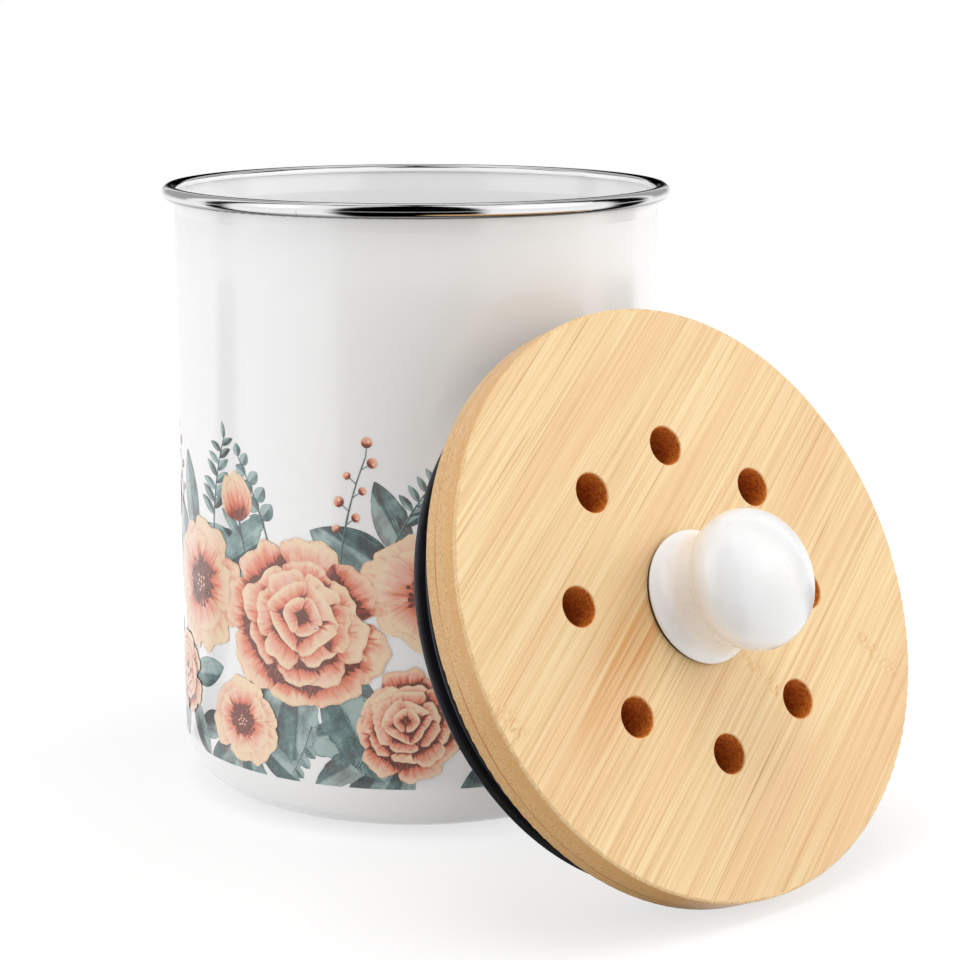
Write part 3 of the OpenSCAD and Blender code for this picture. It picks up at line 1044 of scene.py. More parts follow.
@dataclass
class InkLayer:
    """Thin closed shapes of one ink, laid out on the unrolled wall in metres.

    Each shape is a sheet of its own.  It lies one lift above the one that it
    covers, so that no two faces meet.
    """

    name: str
    lift: float = 0.010
    sheet: float = 0.008
    points: list[tuple[float, float, float]] = field(default_factory=list)
    faces: list[tuple[int, ...]] = field(default_factory=list)
    wash: list[float] = field(default_factory=list)
    ink: list[float] = field(default_factory=list)

    def add_points(self, spots: Iterable[tuple[Vector, tuple[float, float, float]]], brush: Brush) -> int:
        """Adds the points of one shape, first its top and then its underside.

        Args:
            spots: Each point's place in millimetres and its place in the wash.
            brush: How the shape is inked.

        Returns:
            The index of the shape's first point.
        """
        first = len(self.points)
        spots = list(spots)
        top = brush.level * self.lift
        for height in (top, top - self.sheet):
            for spot, wash in spots:
                self.points.append((spot.x * MM, spot.y * MM, height * MM))
                self.wash.extend(wash)
                self.ink.extend((brush.tone, brush.depth, brush.seed))
        return first

    def add_shape(self, outline: Outline, place: Matrix, reach: Vector, brush: Brush,
                  hidden: float = 0.0, step: float = 1.9) -> None:
        """Adds one petal, leaf or dot, as rings round its middle.

        Args:
            outline: Gives the outline's point at an angle from the foot, in
                millimetres from the foot.
            place: Carries the shape from its foot to the unrolled wall.
            reach: The shape's half width and its length.
            brush: How it is inked.
            hidden: The share of its length that other shapes cover.
            step: The greatest length of a mesh edge, in millimetres.
        """
        sides = max(10, round(3.4 * (reach.x + reach.y) / step))
        rings = max(1, round(max(reach.x, reach.y / 2) / step))
        middle = Vector((0.0, reach.y / 2))

        def spot(share: float, turn: float) -> tuple[Vector, tuple[float, float, float]]:
            """Places one point of the shape.

            Args:
                share: Its share of the way from the middle to the outline.
                turn: Its angle from the foot.

            Returns:
                The point on the unrolled wall, and its place in the wash.
            """
            flat = middle.lerp(Vector(outline(turn)), share)
            along = (flat.y / reach.y - hidden) / (1.0 - hidden)
            return place @ Vector((flat.x, flat.y, 0.0)), (flat.x / reach.x, along, share)

        turns = [math.tau * side / sides for side in range(sides)]
        spots = [spot(0.0, 0.0)] + [spot((ring + 1) / rings, turn) for ring in range(rings) for turn in turns]
        first = self.add_points(spots, brush)
        under = len(spots)
        mirrored = place.to_3x3().determinant() < 0
        for side in range(sides):
            after = (side + 1) % sides
            strip = [(0, 1 + after, 1 + side)]
            for ring in range(rings - 1):
                low, high = 1 + ring * sides, 1 + (ring + 1) * sides
                strip.append((low + side, low + after, high + after, high + side))
            rim = 1 + (rings - 1) * sides
            top = [tuple(first + index for index in face) for face in strip]
            bottom = [tuple(first + under + index for index in reversed(face)) for face in strip]
            wall = [(first + rim + side, first + rim + after,
                     first + under + rim + after, first + under + rim + side)]
            for face in top + bottom + wall:
                self.faces.append(tuple(reversed(face)) if mirrored else face)

    def add_dot(self, place: Matrix, radius: float, brush: Brush, step: float = 1.9) -> None:
        """Adds a round dot whose foot is on its rim.

        Args:
            place: Carries the dot from its foot to the unrolled wall.
            radius: Its radius, in millimetres.
            brush: How it is inked.
            step: The greatest length of a mesh edge, in millimetres.
        """
        def outline(turn: float) -> tuple[float, float]:
            """The outline's point at one angle."""
            return radius * math.sin(turn), radius * (1.0 - math.cos(turn))

        self.add_shape(outline, place, Vector((radius, 2 * radius)), brush, step=step)

    def add_stroke(self, path: list[Vector], widths: Iterable[float], brush: Brush) -> None:
        """Adds a stem or vein along a path.

        Args:
            path: The path's points, in millimetres.
            widths: The stroke's width at each point.
            brush: How it is inked.
        """
        spots = []
        for index, (point, width) in enumerate(zip(path, widths)):
            before, after = path[max(index - 1, 0)], path[min(index + 1, len(path) - 1)]
            ahead = (after - before).normalized()
            side = Vector((-ahead.y, ahead.x)) * width / 2
            share = index / (len(path) - 1)
            spots += [(Vector((*(point + side), 0.0)), (-0.5, share, 0.5)),
                      (Vector((*(point - side), 0.0)), (0.5, share, 0.5))]
        first = self.add_points(spots, brush)
        under = first + len(spots)
        for index in range(len(path) - 1):
            a, b, c, d = (2 * index + offset for offset in (0, 1, 3, 2))
            self.faces.append((first + a, first + b, first + c, first + d))
            self.faces.append((under + d, under + c, under + b, under + a))
            self.faces.append((under + a, first + a, first + d, under + d))
            self.faces.append((first + b, under + b, under + c, first + c))
        last = 2 * len(path) - 2
        self.faces.append((under, under + 1, first + 1, first))
        self.faces.append((first + last, first + last + 1, under + last + 1, under + last))

    def cut_flat(self, foot: float) -> bpy.types.Object:
        """Makes the flat mesh, cut straight along its foot.

        Args:
            foot: The height of the cut, in millimetres.

        Returns:
            The flat object.
        """
        mesh = bpy.data.meshes.new(self.name)
        mesh.from_pydata(self.points, [], self.faces)
        for label, values in (("wash", self.wash), ("ink", self.ink)):
            mesh.attributes.new(label, "FLOAT_VECTOR", "POINT").data.foreach_set("vector", values)
        shape = bmesh.new()
        shape.from_mesh(mesh)
        parts = shape.verts[:] + shape.edges[:] + shape.faces[:]
        bmesh.ops.bisect_plane(shape, geom=parts, dist=1e-7, plane_co=(0.0, foot * MM, 0.0),
                               plane_no=(0.0, -1.0, 0.0), clear_outer=True)
        bmesh.ops.holes_fill(shape, edges=[edge for edge in shape.edges if edge.is_boundary], sides=0)
        for edge in shape.edges:
            edge.smooth = edge.calc_face_angle(0.0) < 0.5
        for face in shape.faces:
            face.smooth = True
        shape.to_mesh(mesh)
        shape.free()
        flat = bpy.data.objects.new(self.name, mesh)
        bpy.context.scene.collection.objects.link(flat)
        return flat


def petal_outline(width: float, length: float, notch: float, ripple: float, phase: float) -> Outline:
    """Gives a broad petal with a slightly notched, rippled tip.

    Args:
        width: Half its width, in millimetres.
        length: Its length, in millimetres.
        notch: The depth of the tip's notch, as a share of the length.
        ripple: The height of the ripple, as a share of the width.
        phase: Where the ripple starts.

    Returns:
        The outline, by the angle from the foot.
    """
    def outline(turn: float) -> tuple[float, float]:
        """Gives the outline's point at one angle.

        Args:
            turn: The angle from the foot.

        Returns:
            The point, across and along.
        """
        lift = 0.5 - 0.5 * math.cos(turn)
        wave = 1.0 + ripple * lift * (math.sin(5 * turn + phase) + 0.6 * math.sin(11 * turn + 2 * phase))
        spread = 1.22 * math.sin(turn) * (0.34 + 0.66 * lift ** 0.7)
        dip = notch * math.exp(-((turn - math.pi) / 0.30) ** 2)
        return width * spread * wave, length * (lift * (0.5 + 0.5 * wave) - dip)
    return outline


def leaf_outline(width: float, length: float, bend: float, teeth: float, phase: float) -> Outline:
    """Gives a pointed leaf that bends to one side and may be toothed.

    Args:
        width: Half its width, in millimetres.
        length: Its length, in millimetres.
        bend: How far the tip leans sideways, as a share of the length.
        teeth: The size of the teeth, as a share of the width.
        phase: Where the teeth start.

    Returns:
        The outline, by the angle from the foot.
    """
    def outline(turn: float) -> tuple[float, float]:
        """Gives the outline's point at one angle.

        Args:
            turn: The angle from the foot.

        Returns:
            The point, across and along.
        """
        lift = 0.5 - 0.5 * math.cos(turn)
        point = abs(math.cos(turn / 2)) ** 0.7 * abs(math.sin(turn / 2)) ** 0.45
        saw = (6.4 * lift + phase) % 1.0
        jag = 1.0 + teeth * (saw - 0.3) * math.sin(math.pi * lift)
        return 1.7 * width * math.sin(turn) * point * jag + bend * length * lift * lift, length * lift
    return outline


def spot_on_wall(x: float, y: float, turn: float = 0.0, squash: float = 1.0) -> Matrix:
    """Carries a shape, squashed in height and then turned in degrees, to its place on the flat wall."""
    squashed = Matrix.Diagonal((1.0, squash, 1.0, 1.0))
    return Matrix.Translation((x, y, 0.0)) @ Matrix.Rotation(math.radians(turn), 4, "Z") @ squashed


def path_on_wall(place: Matrix, spots: Iterable[tuple[float, float]]) -> list[Vector]:
    """Carries the points of a path to the unrolled wall."""
    return [(place @ Vector((x, y, 0.0))).to_2d() for x, y in spots]


def bowed(length: float, bend: float, share: float) -> tuple[float, float]:
    """Gives the point, across and along, at a share of a line whose tip leans by bend of its length."""
    return bend * length * share * share, length * share


@dataclass
class Palette:
    """The print's two ink layers, its dice and its count of leaves."""

    petals: InkLayer
    leaves: InkLayer
    dice: random.Random
    leaf_count: int = 0

    LEAF_LEVELS = 4
    MIDRIB = (0.02, 0.2, 0.4, 0.6, 0.8, 0.95)  # shares of the leaf's length
    MIDRIB_WIDTHS = (1.15, 0.95, 0.75, 0.55, 0.35, 0.20)  # shares of its greatest width

    def near(self, value: float, share: float) -> float:
        """Gives a value that is off by at most a share of itself."""
        return value * (1.0 + self.dice.uniform(-share, share))

    def leaf(self, place: Matrix, width: float, length: float, bend: float, wine: float,
             teeth: float = 0.0, depth: float | None = None) -> None:
        """Paints a leaf with its midrib, a level above the leaf before it.

        Args:
            place: Carries the leaf from its foot to the wall.
            width: Half its width, in millimetres.
            length: Its length, in millimetres.
            bend: How far its tip leans, as a share of its length.
            wine: How much wine-red blush it has.
            teeth: The size of its teeth.
            depth: How dark it is, or None for a random depth.
        """
        level = 1 + 2 * (self.leaf_count % self.LEAF_LEVELS)
        self.leaf_count += 1
        depth = self.dice.uniform(-0.14, 0.14) if depth is None else depth
        seed = self.dice.random()
        outline = leaf_outline(width, length, bend, teeth, self.dice.random())
        self.leaves.add_shape(outline, place, Vector((width, length)), Brush(wine, depth, seed, level))
        midrib = path_on_wall(place, (bowed(length, bend, share) for share in self.MIDRIB))
        fine = 0.10 + 0.035 * width
        self.leaves.add_stroke(midrib, [fine * share for share in self.MIDRIB_WIDTHS],
                               Brush(0.1, 0.42, seed, level + 1))


@dataclass(frozen=True)
class Bloom:
    """One flower of the print, in millimetres on the unrolled wall."""

    kind: BloomKind
    x: float
    y: float
    radius: float
    turn: float = 0.0
    squash: float = 0.92
    front: bool = False
    leaves: tuple[float, ...] = ()

    REAR_LEVEL = 15
    FRONT_LEVEL = 28
    PETAL_FOOT = 0.22  # share of the ring's radius
    PETAL_WIDTH = 1.42 * 0.66  # share of the ring's arc that one petal has, and where it is widest
    PETAL_TURN = 8.0  # degrees to either side
    PETAL_RIPPLE = 0.055
    CAMELLIA_RINGS = ((8, 1.06, 0.74), (8, 0.84, 0.54), (6, 0.62, 0.34), (4, 0.42, 0.20), (4, 0.24, 0.0))

    def paint(self, palette: Palette) -> None:
        """Paints the flower's leaves and then the flower.

        Args:
            palette: The print's inks.
        """
        for bearing in self.leaves:
            foot = spot_on_wall(self.x, self.y) @ spot_on_wall(0.0, 0.0, bearing)
            foot = foot @ Matrix.Translation((0.0, self.radius * 0.62, 0.0))
            length = palette.near(self.radius * 1.05, 0.18) + 7.0
            palette.leaf(foot, palette.near(length * 0.19, 0.15), length, palette.dice.uniform(-0.25, 0.25),
                         palette.dice.choice((0.05, 0.3, 0.8)), palette.dice.choice((0.0, 0.0, 0.14)))
        level = self.FRONT_LEVEL if self.front else self.REAR_LEVEL
        painters = {BloomKind.CAMELLIA: self.paint_camellia, BloomKind.ANEMONE: self.paint_anemone,
                    BloomKind.TULIP: self.paint_tulip}
        painters[self.kind](palette, level)

    def ring(self, palette: Palette, count: int, outer: float, inner: float, level: int, shift: float,
             notch: float, depth: float) -> None:
        """Paints one ring of petals, every other one a level higher.

        Args:
            palette: The print's inks.
            count: How many petals the ring has, an even number.
            outer: The radius of their tips, as a share of the flower's.
            inner: The radius of the ring that covers their feet, likewise.
            level: The level of the lower petals.
            shift: How far the ring's middle lies above the flower's, likewise.
            notch: The depth of the notch in each tip.
            depth: How far the dark throat reaches out.
        """
        middle = spot_on_wall(self.x, self.y, self.turn, self.squash)
        start = palette.dice.uniform(0.0, 360.0)
        foot = outer * self.PETAL_FOOT * self.radius
        for index in (*range(0, count, 2), *range(1, count, 2)):
            length = palette.near(outer * self.radius, 0.10) - foot
            width = palette.near(self.PETAL_WIDTH * math.pi * outer * self.radius / count, 0.14)
            hidden = max(0.0, (inner * self.radius - foot) / length * 0.96)
            turn = start + 360.0 * index / count + palette.dice.uniform(-self.PETAL_TURN, self.PETAL_TURN)
            place = (middle @ Matrix.Translation((0.0, shift * self.radius, 0.0))
                     @ spot_on_wall(0.0, 0.0, turn) @ Matrix.Translation((0.0, foot, 0.0)))
            outline = petal_outline(width, length, notch * palette.dice.uniform(0.3, 1.5), self.PETAL_RIPPLE,
                                    palette.dice.uniform(0.0, math.tau))
            brush = Brush(palette.dice.uniform(0.0, 1.0), depth + palette.dice.uniform(-0.16, 0.12),
                          palette.dice.random(), level + index % 2)
            palette.petals.add_shape(outline, place, Vector((width, length)), brush, min(hidden, 0.85))

    def paint_camellia(self, palette: Palette, level: int) -> None:
        """Paints a full flower of five rings that close towards its middle.

        Args:
            palette: The print's inks.
            level: The flower's lowest level.
        """
        self.paint_eye(palette, 0.34, level, 1.0)
        for step, (count, outer, inner) in enumerate(self.CAMELLIA_RINGS):
            self.ring(palette, count, outer, inner, level + 1 + 2 * step, shift=0.035 * step, notch=0.05,
                      depth=0.05 - 0.01 * step)

    def paint_eye(self, palette: Palette, size: float, level: int, depth: float) -> None:
        """Paints a dark disc in the middle of the flower.

        Args:
            palette: The print's inks.
            size: Its radius as a share of the flower's.
            level: Its level.
            depth: How dark it is.
        """
        eye = self.radius * size
        place = spot_on_wall(self.x, self.y, self.turn, self.squash) @ Matrix.Translation((0.0, -eye, 0.0))
        palette.petals.add_shape(petal_outline(eye, 2 * eye, 0.0, 0.06, 1.0), place, Vector((eye, 2 * eye)),
                                 Brush(0.0, depth, palette.dice.random(), level))

    def paint_anemone(self, palette: Palette, level: int) -> None:
        """Paints an open flower with a dark eye and a ring of stamens.

        Args:
            palette: The print's inks.
            level: The flower's lowest level.
        """
        self.paint_eye(palette, 0.30, level, 1.0)
        self.ring(palette, 6, 1.06, 0.30, level + 1, shift=0.0, notch=0.07, depth=0.02)
        self.ring(palette, 6, 0.84, 0.24, level + 3, shift=0.02, notch=0.05, depth=0.08)
        self.paint_eye(palette, 0.22, level + 5, 1.0)
        middle = spot_on_wall(self.x, self.y + 0.02 * self.radius, self.turn, self.squash)
        stamens = 22 if self.radius > 14 else 14
        for index in range(stamens):
            turn = math.tau * (index + palette.dice.uniform(-0.3, 0.3)) / stamens
            reach = self.radius * palette.dice.uniform(0.30, 0.40)
            path = path_on_wall(middle, ((math.sin(turn) * share * reach, math.cos(turn) * share * reach)
                                         for share in (0.2, 0.7, 1.0)))
            palette.petals.add_stroke(path, (0.45, 0.26, 0.2),
                                      Brush(0.0, 1.0, palette.dice.random(), level + 6))
            tip = self.radius * 0.022 + 0.22
            palette.petals.add_dot(spot_on_wall(path[-1].x, path[-1].y - tip), tip,
                                   Brush(0.0, 0.95, palette.dice.random(), level + 7 + index % 2))
        eye = self.radius * 0.20
        for index in range(9):
            turn, reach = index * 2.4, eye * 0.24 * math.sqrt(index + 0.4)
            dot = eye * 0.13
            spot = middle @ Vector((reach * math.cos(turn), reach * math.sin(turn), 0.0))
            palette.petals.add_dot(spot_on_wall(spot.x, spot.y - dot), dot,
                                   Brush(0.6, -0.1, palette.dice.random(), level + 9))

    def paint_tulip(self, palette: Palette, level: int) -> None:
        """Paints a closed flower seen from the side, on its stem.

        Args:
            palette: The print's inks.
            level: The flower's lowest level.
        """
        place = spot_on_wall(self.x, self.y, self.turn)
        long = self.radius * 2
        stem = -1.3 * long
        sway = -0.10 / 1.3
        path = path_on_wall(place, (bowed(stem, sway, share) for share in (0.0, 0.25, 0.5, 0.75, 1.0)))
        palette.leaves.add_stroke(path, (0.9, 0.8, 0.8, 0.75, 0.7), Brush(0.2, 0.2, palette.dice.random(), 9))
        for share, lean in ((0.30, 34.0), (0.55, -30.0)):
            foot = place @ Matrix.Translation((*bowed(stem, sway, share), 0.0))
            palette.leaf(foot @ spot_on_wall(0.0, 0.0, lean), long * 0.11, long * 0.85, -0.002 * lean, 0.2)
        petals = ((-17.0, 0.94, 0.30, 0, -0.02), (17.0, 0.96, 0.30, 1, 0.02), (-7.0, 1.0, 0.27, 3, 0.0),
                  (8.0, 0.84, 0.30, 4, 0.10))
        for turn, share, wide, rise, depth in petals:
            length, width = long * share, long * wide
            outline = leaf_outline(width * 1.02, length, 0.05 * math.copysign(1.0, turn), 0.0, 0.0)
            brush = Brush(palette.dice.uniform(0.2, 0.9), depth, palette.dice.random(), level + rise)
            palette.petals.add_shape(outline, place @ spot_on_wall(0.0, 0.0, turn), Vector((width, length)),
                                     brush, 0.05)
        for turn in (-48.0, 40.0):
            palette.leaf(place @ spot_on_wall(0.0, -0.2, turn), long * 0.07, long * 0.36, 0.1, 0.3)


@dataclass(frozen=True)
class Sprig:
    """One filler sprig, from its foot, in millimetres on the unrolled wall."""

    kind: SprigKind
    x: float
    y: float
    length: float
    turn: float
    bend: float = 0.2

    def paint(self, palette: Palette) -> None:
        """Paints the stem and then what it carries.

        Args:
            palette: The print's inks.
        """
        place = spot_on_wall(self.x, self.y, self.turn)
        shares = [index / 10 for index in range(11)]
        path = path_on_wall(place, (bowed(self.length, self.bend, share) for share in shares))
        palette.leaves.add_stroke(path, [0.75 - 0.4 * share for share in shares],
                                  Brush(0.4, 0.15, palette.dice.random(), 9))
        count = {SprigKind.BERRY: 7, SprigKind.WILLOW: 13, SprigKind.EUCALYPTUS: 9}[self.kind]
        for index in range(count):
            share = 0.30 + 0.70 * index / (count - 1)
            side = -1.0 if index % 2 else 1.0
            lean = 0.0 if index == count - 1 else side * palette.near(48.0, 0.25)
            joint = Matrix.Translation((*bowed(self.length, self.bend, share), 0.0))
            foot = place @ joint @ spot_on_wall(0.0, 0.0, lean)
            if self.kind is SprigKind.BERRY:
                self.paint_berry(palette, foot, index)
            elif self.kind is SprigKind.WILLOW:
                size = self.length * (0.30 - 0.14 * share)
                palette.leaf(foot, size * 0.17, size, -0.12 * side, 0.35)
            else:
                size = self.length * (0.24 - 0.11 * share)
                palette.leaf(foot, size * 0.36, size, 0.0, 0.15, depth=-0.10)

    def paint_berry(self, palette: Palette, foot: Matrix, index: int) -> None:
        """Paints one berry on its short stalk, with a light.

        Args:
            palette: The print's inks.
            foot: Carries the stalk's foot to the wall.
            index: The berry's number along the stem.
        """
        stalk, berry = 2.6, palette.near(1.55, 0.2)
        path = path_on_wall(foot, ((0.0, 0.0), (0.0, stalk / 2), (0.0, stalk)))
        palette.leaves.add_stroke(path, (0.35, 0.3, 0.3), Brush(0.6, 0.1, palette.dice.random(), 10))
        head = foot @ Matrix.Translation((0.0, stalk, 0.0))
        level = 11 + 2 * (index % 2)
        palette.petals.add_dot(head, berry, Brush(0.1, 0.22, palette.dice.random(), level), step=1.2)
        light = head @ Matrix.Translation((0.3 * berry, 0.9 * berry, 0.0))
        palette.petals.add_dot(light, 0.24 * berry, Brush(1.0, -0.6, palette.dice.random(), level + 1))


@dataclass
class WallPrint:
    """The floral band round the wall: one motif, repeated round the canister."""

    wall_radius: float = 79.4
    corner_radius: float = 20.0
    foot: float = 17.2
    repeats: int = 2
    start_bearing: float = -130.4
    seed: int = 41
    blooms: tuple[Bloom, ...] = (  # kind, x, y, radius, turn, squash, front, leaf bearings
        Bloom(BloomKind.CAMELLIA, 86, 68, 27.0, -12, 0.95, True, (50, 78, -62, -150, 178, 150)),
        Bloom(BloomKind.ANEMONE, 38, 74, 23.0, 18, 0.90, False, (16, 48, 85, 150, -60)),
        Bloom(BloomKind.CAMELLIA, 122, 38, 18.0, 30, 0.92, True, (62, 100, 148, -105, 125, 172)),
        Bloom(BloomKind.ANEMONE, 129, 80, 21.0, -24, 0.90, False, (-12, 30, 60, -50)),
        Bloom(BloomKind.ANEMONE, 62, 33, 14.5, -10, 0.94, True, (105, 142, -125, 165, -165)),
        Bloom(BloomKind.CAMELLIA, 22, 41, 14.0, 12, 0.94, True, (90, 135, -80, -140, 165)),
        Bloom(BloomKind.TULIP, 62, 99, 8.0, 12, 1.0, False),
        Bloom(BloomKind.CAMELLIA, 180, 66, 25.5, 20, 0.94, True, (60, 95, 150, -40, -100, -150)),
        Bloom(BloomKind.ANEMONE, 222, 80, 21.0, -15, 0.90, False, (10, -35, -80, 50)),
        Bloom(BloomKind.ANEMONE, 155, 36, 13.0, 40, 0.92, False, (150, -150, 178)),
        Bloom(BloomKind.CAMELLIA, 212, 40, 16.5, -30, 0.93, True, (110, -120, 165, -165)),
        Bloom(BloomKind.TULIP, 157, 98, 8.0, -10, 1.0, False),
        Bloom(BloomKind.ANEMONE, 243, 44, 13.0, 12, 0.92, False, (70, 150, -150)),
        Bloom(BloomKind.TULIP, 6, 90, 7.5, 20, 1.0, False),
    )
    sprigs: tuple[Sprig, ...] = (
        Sprig(SprigKind.BERRY, 100, 86, 38, -4, 0.16),
        Sprig(SprigKind.BERRY, 22, 86, 34, 10, -0.20),
        Sprig(SprigKind.WILLOW, 48, 88, 36, 2, 0.22),
        Sprig(SprigKind.EUCALYPTUS, 76, 88, 34, 14, -0.18),
        Sprig(SprigKind.WILLOW, 116, 92, 30, -20, 0.2),
        Sprig(SprigKind.EUCALYPTUS, 90, 36, 24, 165, 0.2),
        Sprig(SprigKind.WILLOW, 142, 90, 34, -20, 0.2),
        Sprig(SprigKind.BERRY, 184, 86, 38, -6, 0.2),
        Sprig(SprigKind.EUCALYPTUS, 200, 86, 36, 12, -0.2),
        Sprig(SprigKind.WILLOW, 232, 90, 34, -12, 0.2),
        Sprig(SprigKind.BERRY, 246, 74, 32, 0, -0.2),
        Sprig(SprigKind.WILLOW, 188, 36, 24, -170, 0.2),
    )

    def build(self, petal_ink: bpy.types.Material, leaf_ink: bpy.types.Material) -> list[bpy.types.Object]:
        """Paints the motif flat and wraps it round the wall.

        Args:
            petal_ink: The petals' material.
            leaf_ink: The leaves' material.

        Returns:
            The two printed pieces.
        """
        palette = Palette(InkLayer("print_petals"), InkLayer("print_leaves"), random.Random(self.seed))
        for sprig in self.sprigs:
            sprig.paint(palette)
        for bloom in self.blooms:
            bloom.paint(palette)
        tree = self.wrap_tree()
        pieces = []
        for layer, material in ((palette.petals, petal_ink), (palette.leaves, leaf_ink)):
            flat = layer.cut_flat(self.foot)
            pieces.append(self.wrap(flat, tree, material))
        return pieces

    def wrap_tree(self) -> bpy.types.NodeTree:
        """Builds the node tree that bends a flat motif round the wall and repeats it.

        Returns:
            The tree, with the radii of the wall and of its lower corner, the
            first bearing, the number of repeats and the material as inputs.
        """
        tree = bpy.data.node_groups.new("wrap_round_wall", "GeometryNodeTree")
        sockets = (("Geometry", "Geometry"), ("Wall Radius", "Float"), ("Corner Radius", "Float"),
                   ("Start Bearing", "Float"), ("Repeats", "Int"), ("Material", "Material"))
        for label, kind in sockets:
            tree.interface.new_socket(label, in_out="INPUT", socket_type=f"NodeSocket{kind}")
        tree.interface.new_socket("Geometry", in_out="OUTPUT", socket_type="NodeSocketGeometry")
        graph = Graph(tree)
        given = tree.nodes.new("NodeGroupInput").outputs
        x, y, z = graph.separate(graph.add("GeometryNodeInputPosition").outputs[0])
        angle = graph.plus(graph.over(x, given["Wall Radius"]), given["Start Bearing"])
        corner = given["Corner Radius"]
        below = graph.math("MAXIMUM", graph.minus(corner, y), 0.0)
        square = graph.minus(graph.times(corner, corner), graph.times(below, below))
        tuck = graph.minus(corner, graph.math("SQRT", square))
        reach = graph.minus(graph.plus(z, given["Wall Radius"]), tuck)
        bent = graph.combine(graph.times(reach, graph.math("COSINE", angle)),
                             graph.times(reach, graph.math("SINE", angle)), y)
        wrapped = graph.add("GeometryNodeSetPosition", {"Geometry": given["Geometry"], "Position": bent})
        points = graph.add("GeometryNodeMeshLine", {"Count": given["Repeats"], "Offset": ORIGIN})
        share = graph.over(graph.add("GeometryNodeInputIndex").outputs[0], given["Repeats"])
        turn = graph.combine(z=graph.times(share, math.tau))
        copies = graph.add("GeometryNodeInstanceOnPoints", {
            "Points": points.outputs[0], "Instance": wrapped.outputs[0], "Rotation": turn})
        solid = graph.add("GeometryNodeRealizeInstances", {"Geometry": copies.outputs[0]})
        inked = graph.add("GeometryNodeSetMaterial", {"Geometry": solid.outputs[0],
                                                      "Material": given["Material"]})
        graph.feed(tree.nodes.new("NodeGroupOutput").inputs[0], inked.outputs[0])
        return tree

    def wrap(self, flat: bpy.types.Object, tree: bpy.types.NodeTree,
             material: bpy.types.Material) -> bpy.types.Object:
        """Wraps one flat layer and leaves it a plain mesh.

        Args:
            flat: The flat object.
            tree: The wrapping tree.
            material: The layer's ink.

        Returns:
            The wrapped object.
        """
        modifier = flat.modifiers.new("wrap", "NODES")
        modifier.node_group = tree
        values = {"Wall Radius": self.wall_radius * MM, "Corner Radius": self.corner_radius * MM,
                  "Start Bearing": math.radians(self.start_bearing), "Repeats": self.repeats,
                  "Material": material}
        for socket in tree.interface.items_tree:
            if socket.in_out == "INPUT" and socket.name in values:
                modifier[socket.identifier] = values[socket.name]
        return settle(flat)


def settle(piece: bpy.types.Object) -> bpy.types.Object:
    """Turns an object's modifiers into a plain mesh.

    Args:
        piece: The object with its modifiers.

    Returns:
        The same object, with the result as its mesh and no modifier.
    """
    graph = bpy.context.evaluated_depsgraph_get()
    mesh = bpy.data.meshes.new_from_object(piece.evaluated_get(graph), preserve_all_data_layers=True,
                                           depsgraph=graph)
    piece.modifiers.clear()
    piece.data = mesh
    mesh.name = piece.name
    return piece


# --------------------------------------------------------------- sub-assemblies

def dress(nodes: dict[str, bpy.types.Object], finish: Finish, *names: str) -> None:
    """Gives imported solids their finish.

    Args:
        nodes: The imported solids.
        finish: The finish, whose material is built once.
        *names: The solids' names.
    """
    material = finish.build()
    for name in names:
        piece = nodes[name]
        if not piece.material_slots:
            piece.data.materials.append(material)
        for slot in piece.material_slots:
            slot.material = material
        log.info("%s: %s, %d triangles", name, material.name, len(piece.data.polygons))


@dataclass
class Canister:
    """The enamelled pot with its steel rim and its print."""

    effects: Effects
    enamel_colour: Colour = (0.955, 0.956, 0.954)
    steel_colour: Colour = (0.82, 0.82, 0.83)
    artwork: WallPrint = field(default_factory=WallPrint)

    def build(self, nodes: dict[str, bpy.types.Object]) -> None:
        """Dresses the pot and its rim, and prints the wall.

        Args:
            nodes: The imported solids.
        """
        enamel = Enamel("white_enamel", self.effects, self.enamel_colour, 0.11)
        steel = RimSteel("rim_steel", self.effects, self.steel_colour, 0.07, self.enamel_colour)
        dress(nodes, enamel, "canister_shell")
        dress(nodes, steel, "rim_band")
        petal_ink = PetalInk("petal_ink", self.effects, srgb(238, 150, 120), 0.30).build()
        leaf_ink = LeafInk("leaf_ink", self.effects, srgb(108, 138, 138), 0.30).build()
        for piece in self.artwork.build(petal_ink, leaf_ink):
            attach(piece, "canister")
            log.info("%s: %d faces", piece.name, len(piece.data.polygons))


@dataclass
class LidBoard:
    """The bamboo disc and the bamboo ring under it."""

    effects: Effects
    lid: LidFrame
    grain_turn: float = 127.5
    knuckles: tuple[Knuckle, ...] = (
        Knuckle(37.0, -77.0, -55.0), Knuckle(-2.5, -41.0, -19.5), Knuckle(-79.0, 26.0, 45.0),
    )
    disc_radius: float = 90.0
    thickness: float = 13.5
    plug_radius: float = 76.2
    vent_radius: float = 5.85

    def build(self, nodes: dict[str, bpy.types.Object]) -> None:
        """Dresses the two bamboo pieces.

        Args:
            nodes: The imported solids.
        """
        tones = {"light": srgb(242, 216, 166), "dark": srgb(222, 178, 120), "blush": srgb(232, 188, 138),
                 "warm": srgb(214, 146, 74), "hairline": srgb(184, 126, 74), "edge": srgb(204, 158, 102)}
        board = Bamboo("lid_bamboo", self.effects, srgb(234, 200, 147), 0.42, self.lid, self.grain_turn,
                       disc_radius=self.disc_radius, face_height=self.thickness, knuckles=self.knuckles,
                       vent_radius=self.vent_radius, **tones)
        ring = Bamboo("plug_bamboo", self.effects, srgb(226, 188, 134), 0.5, self.lid, self.grain_turn,
                      disc_radius=self.plug_radius, face_height=0.0, **tones)
        dress(nodes, board, "lid_disc")
        dress(nodes, ring, "lid_plug_ring")


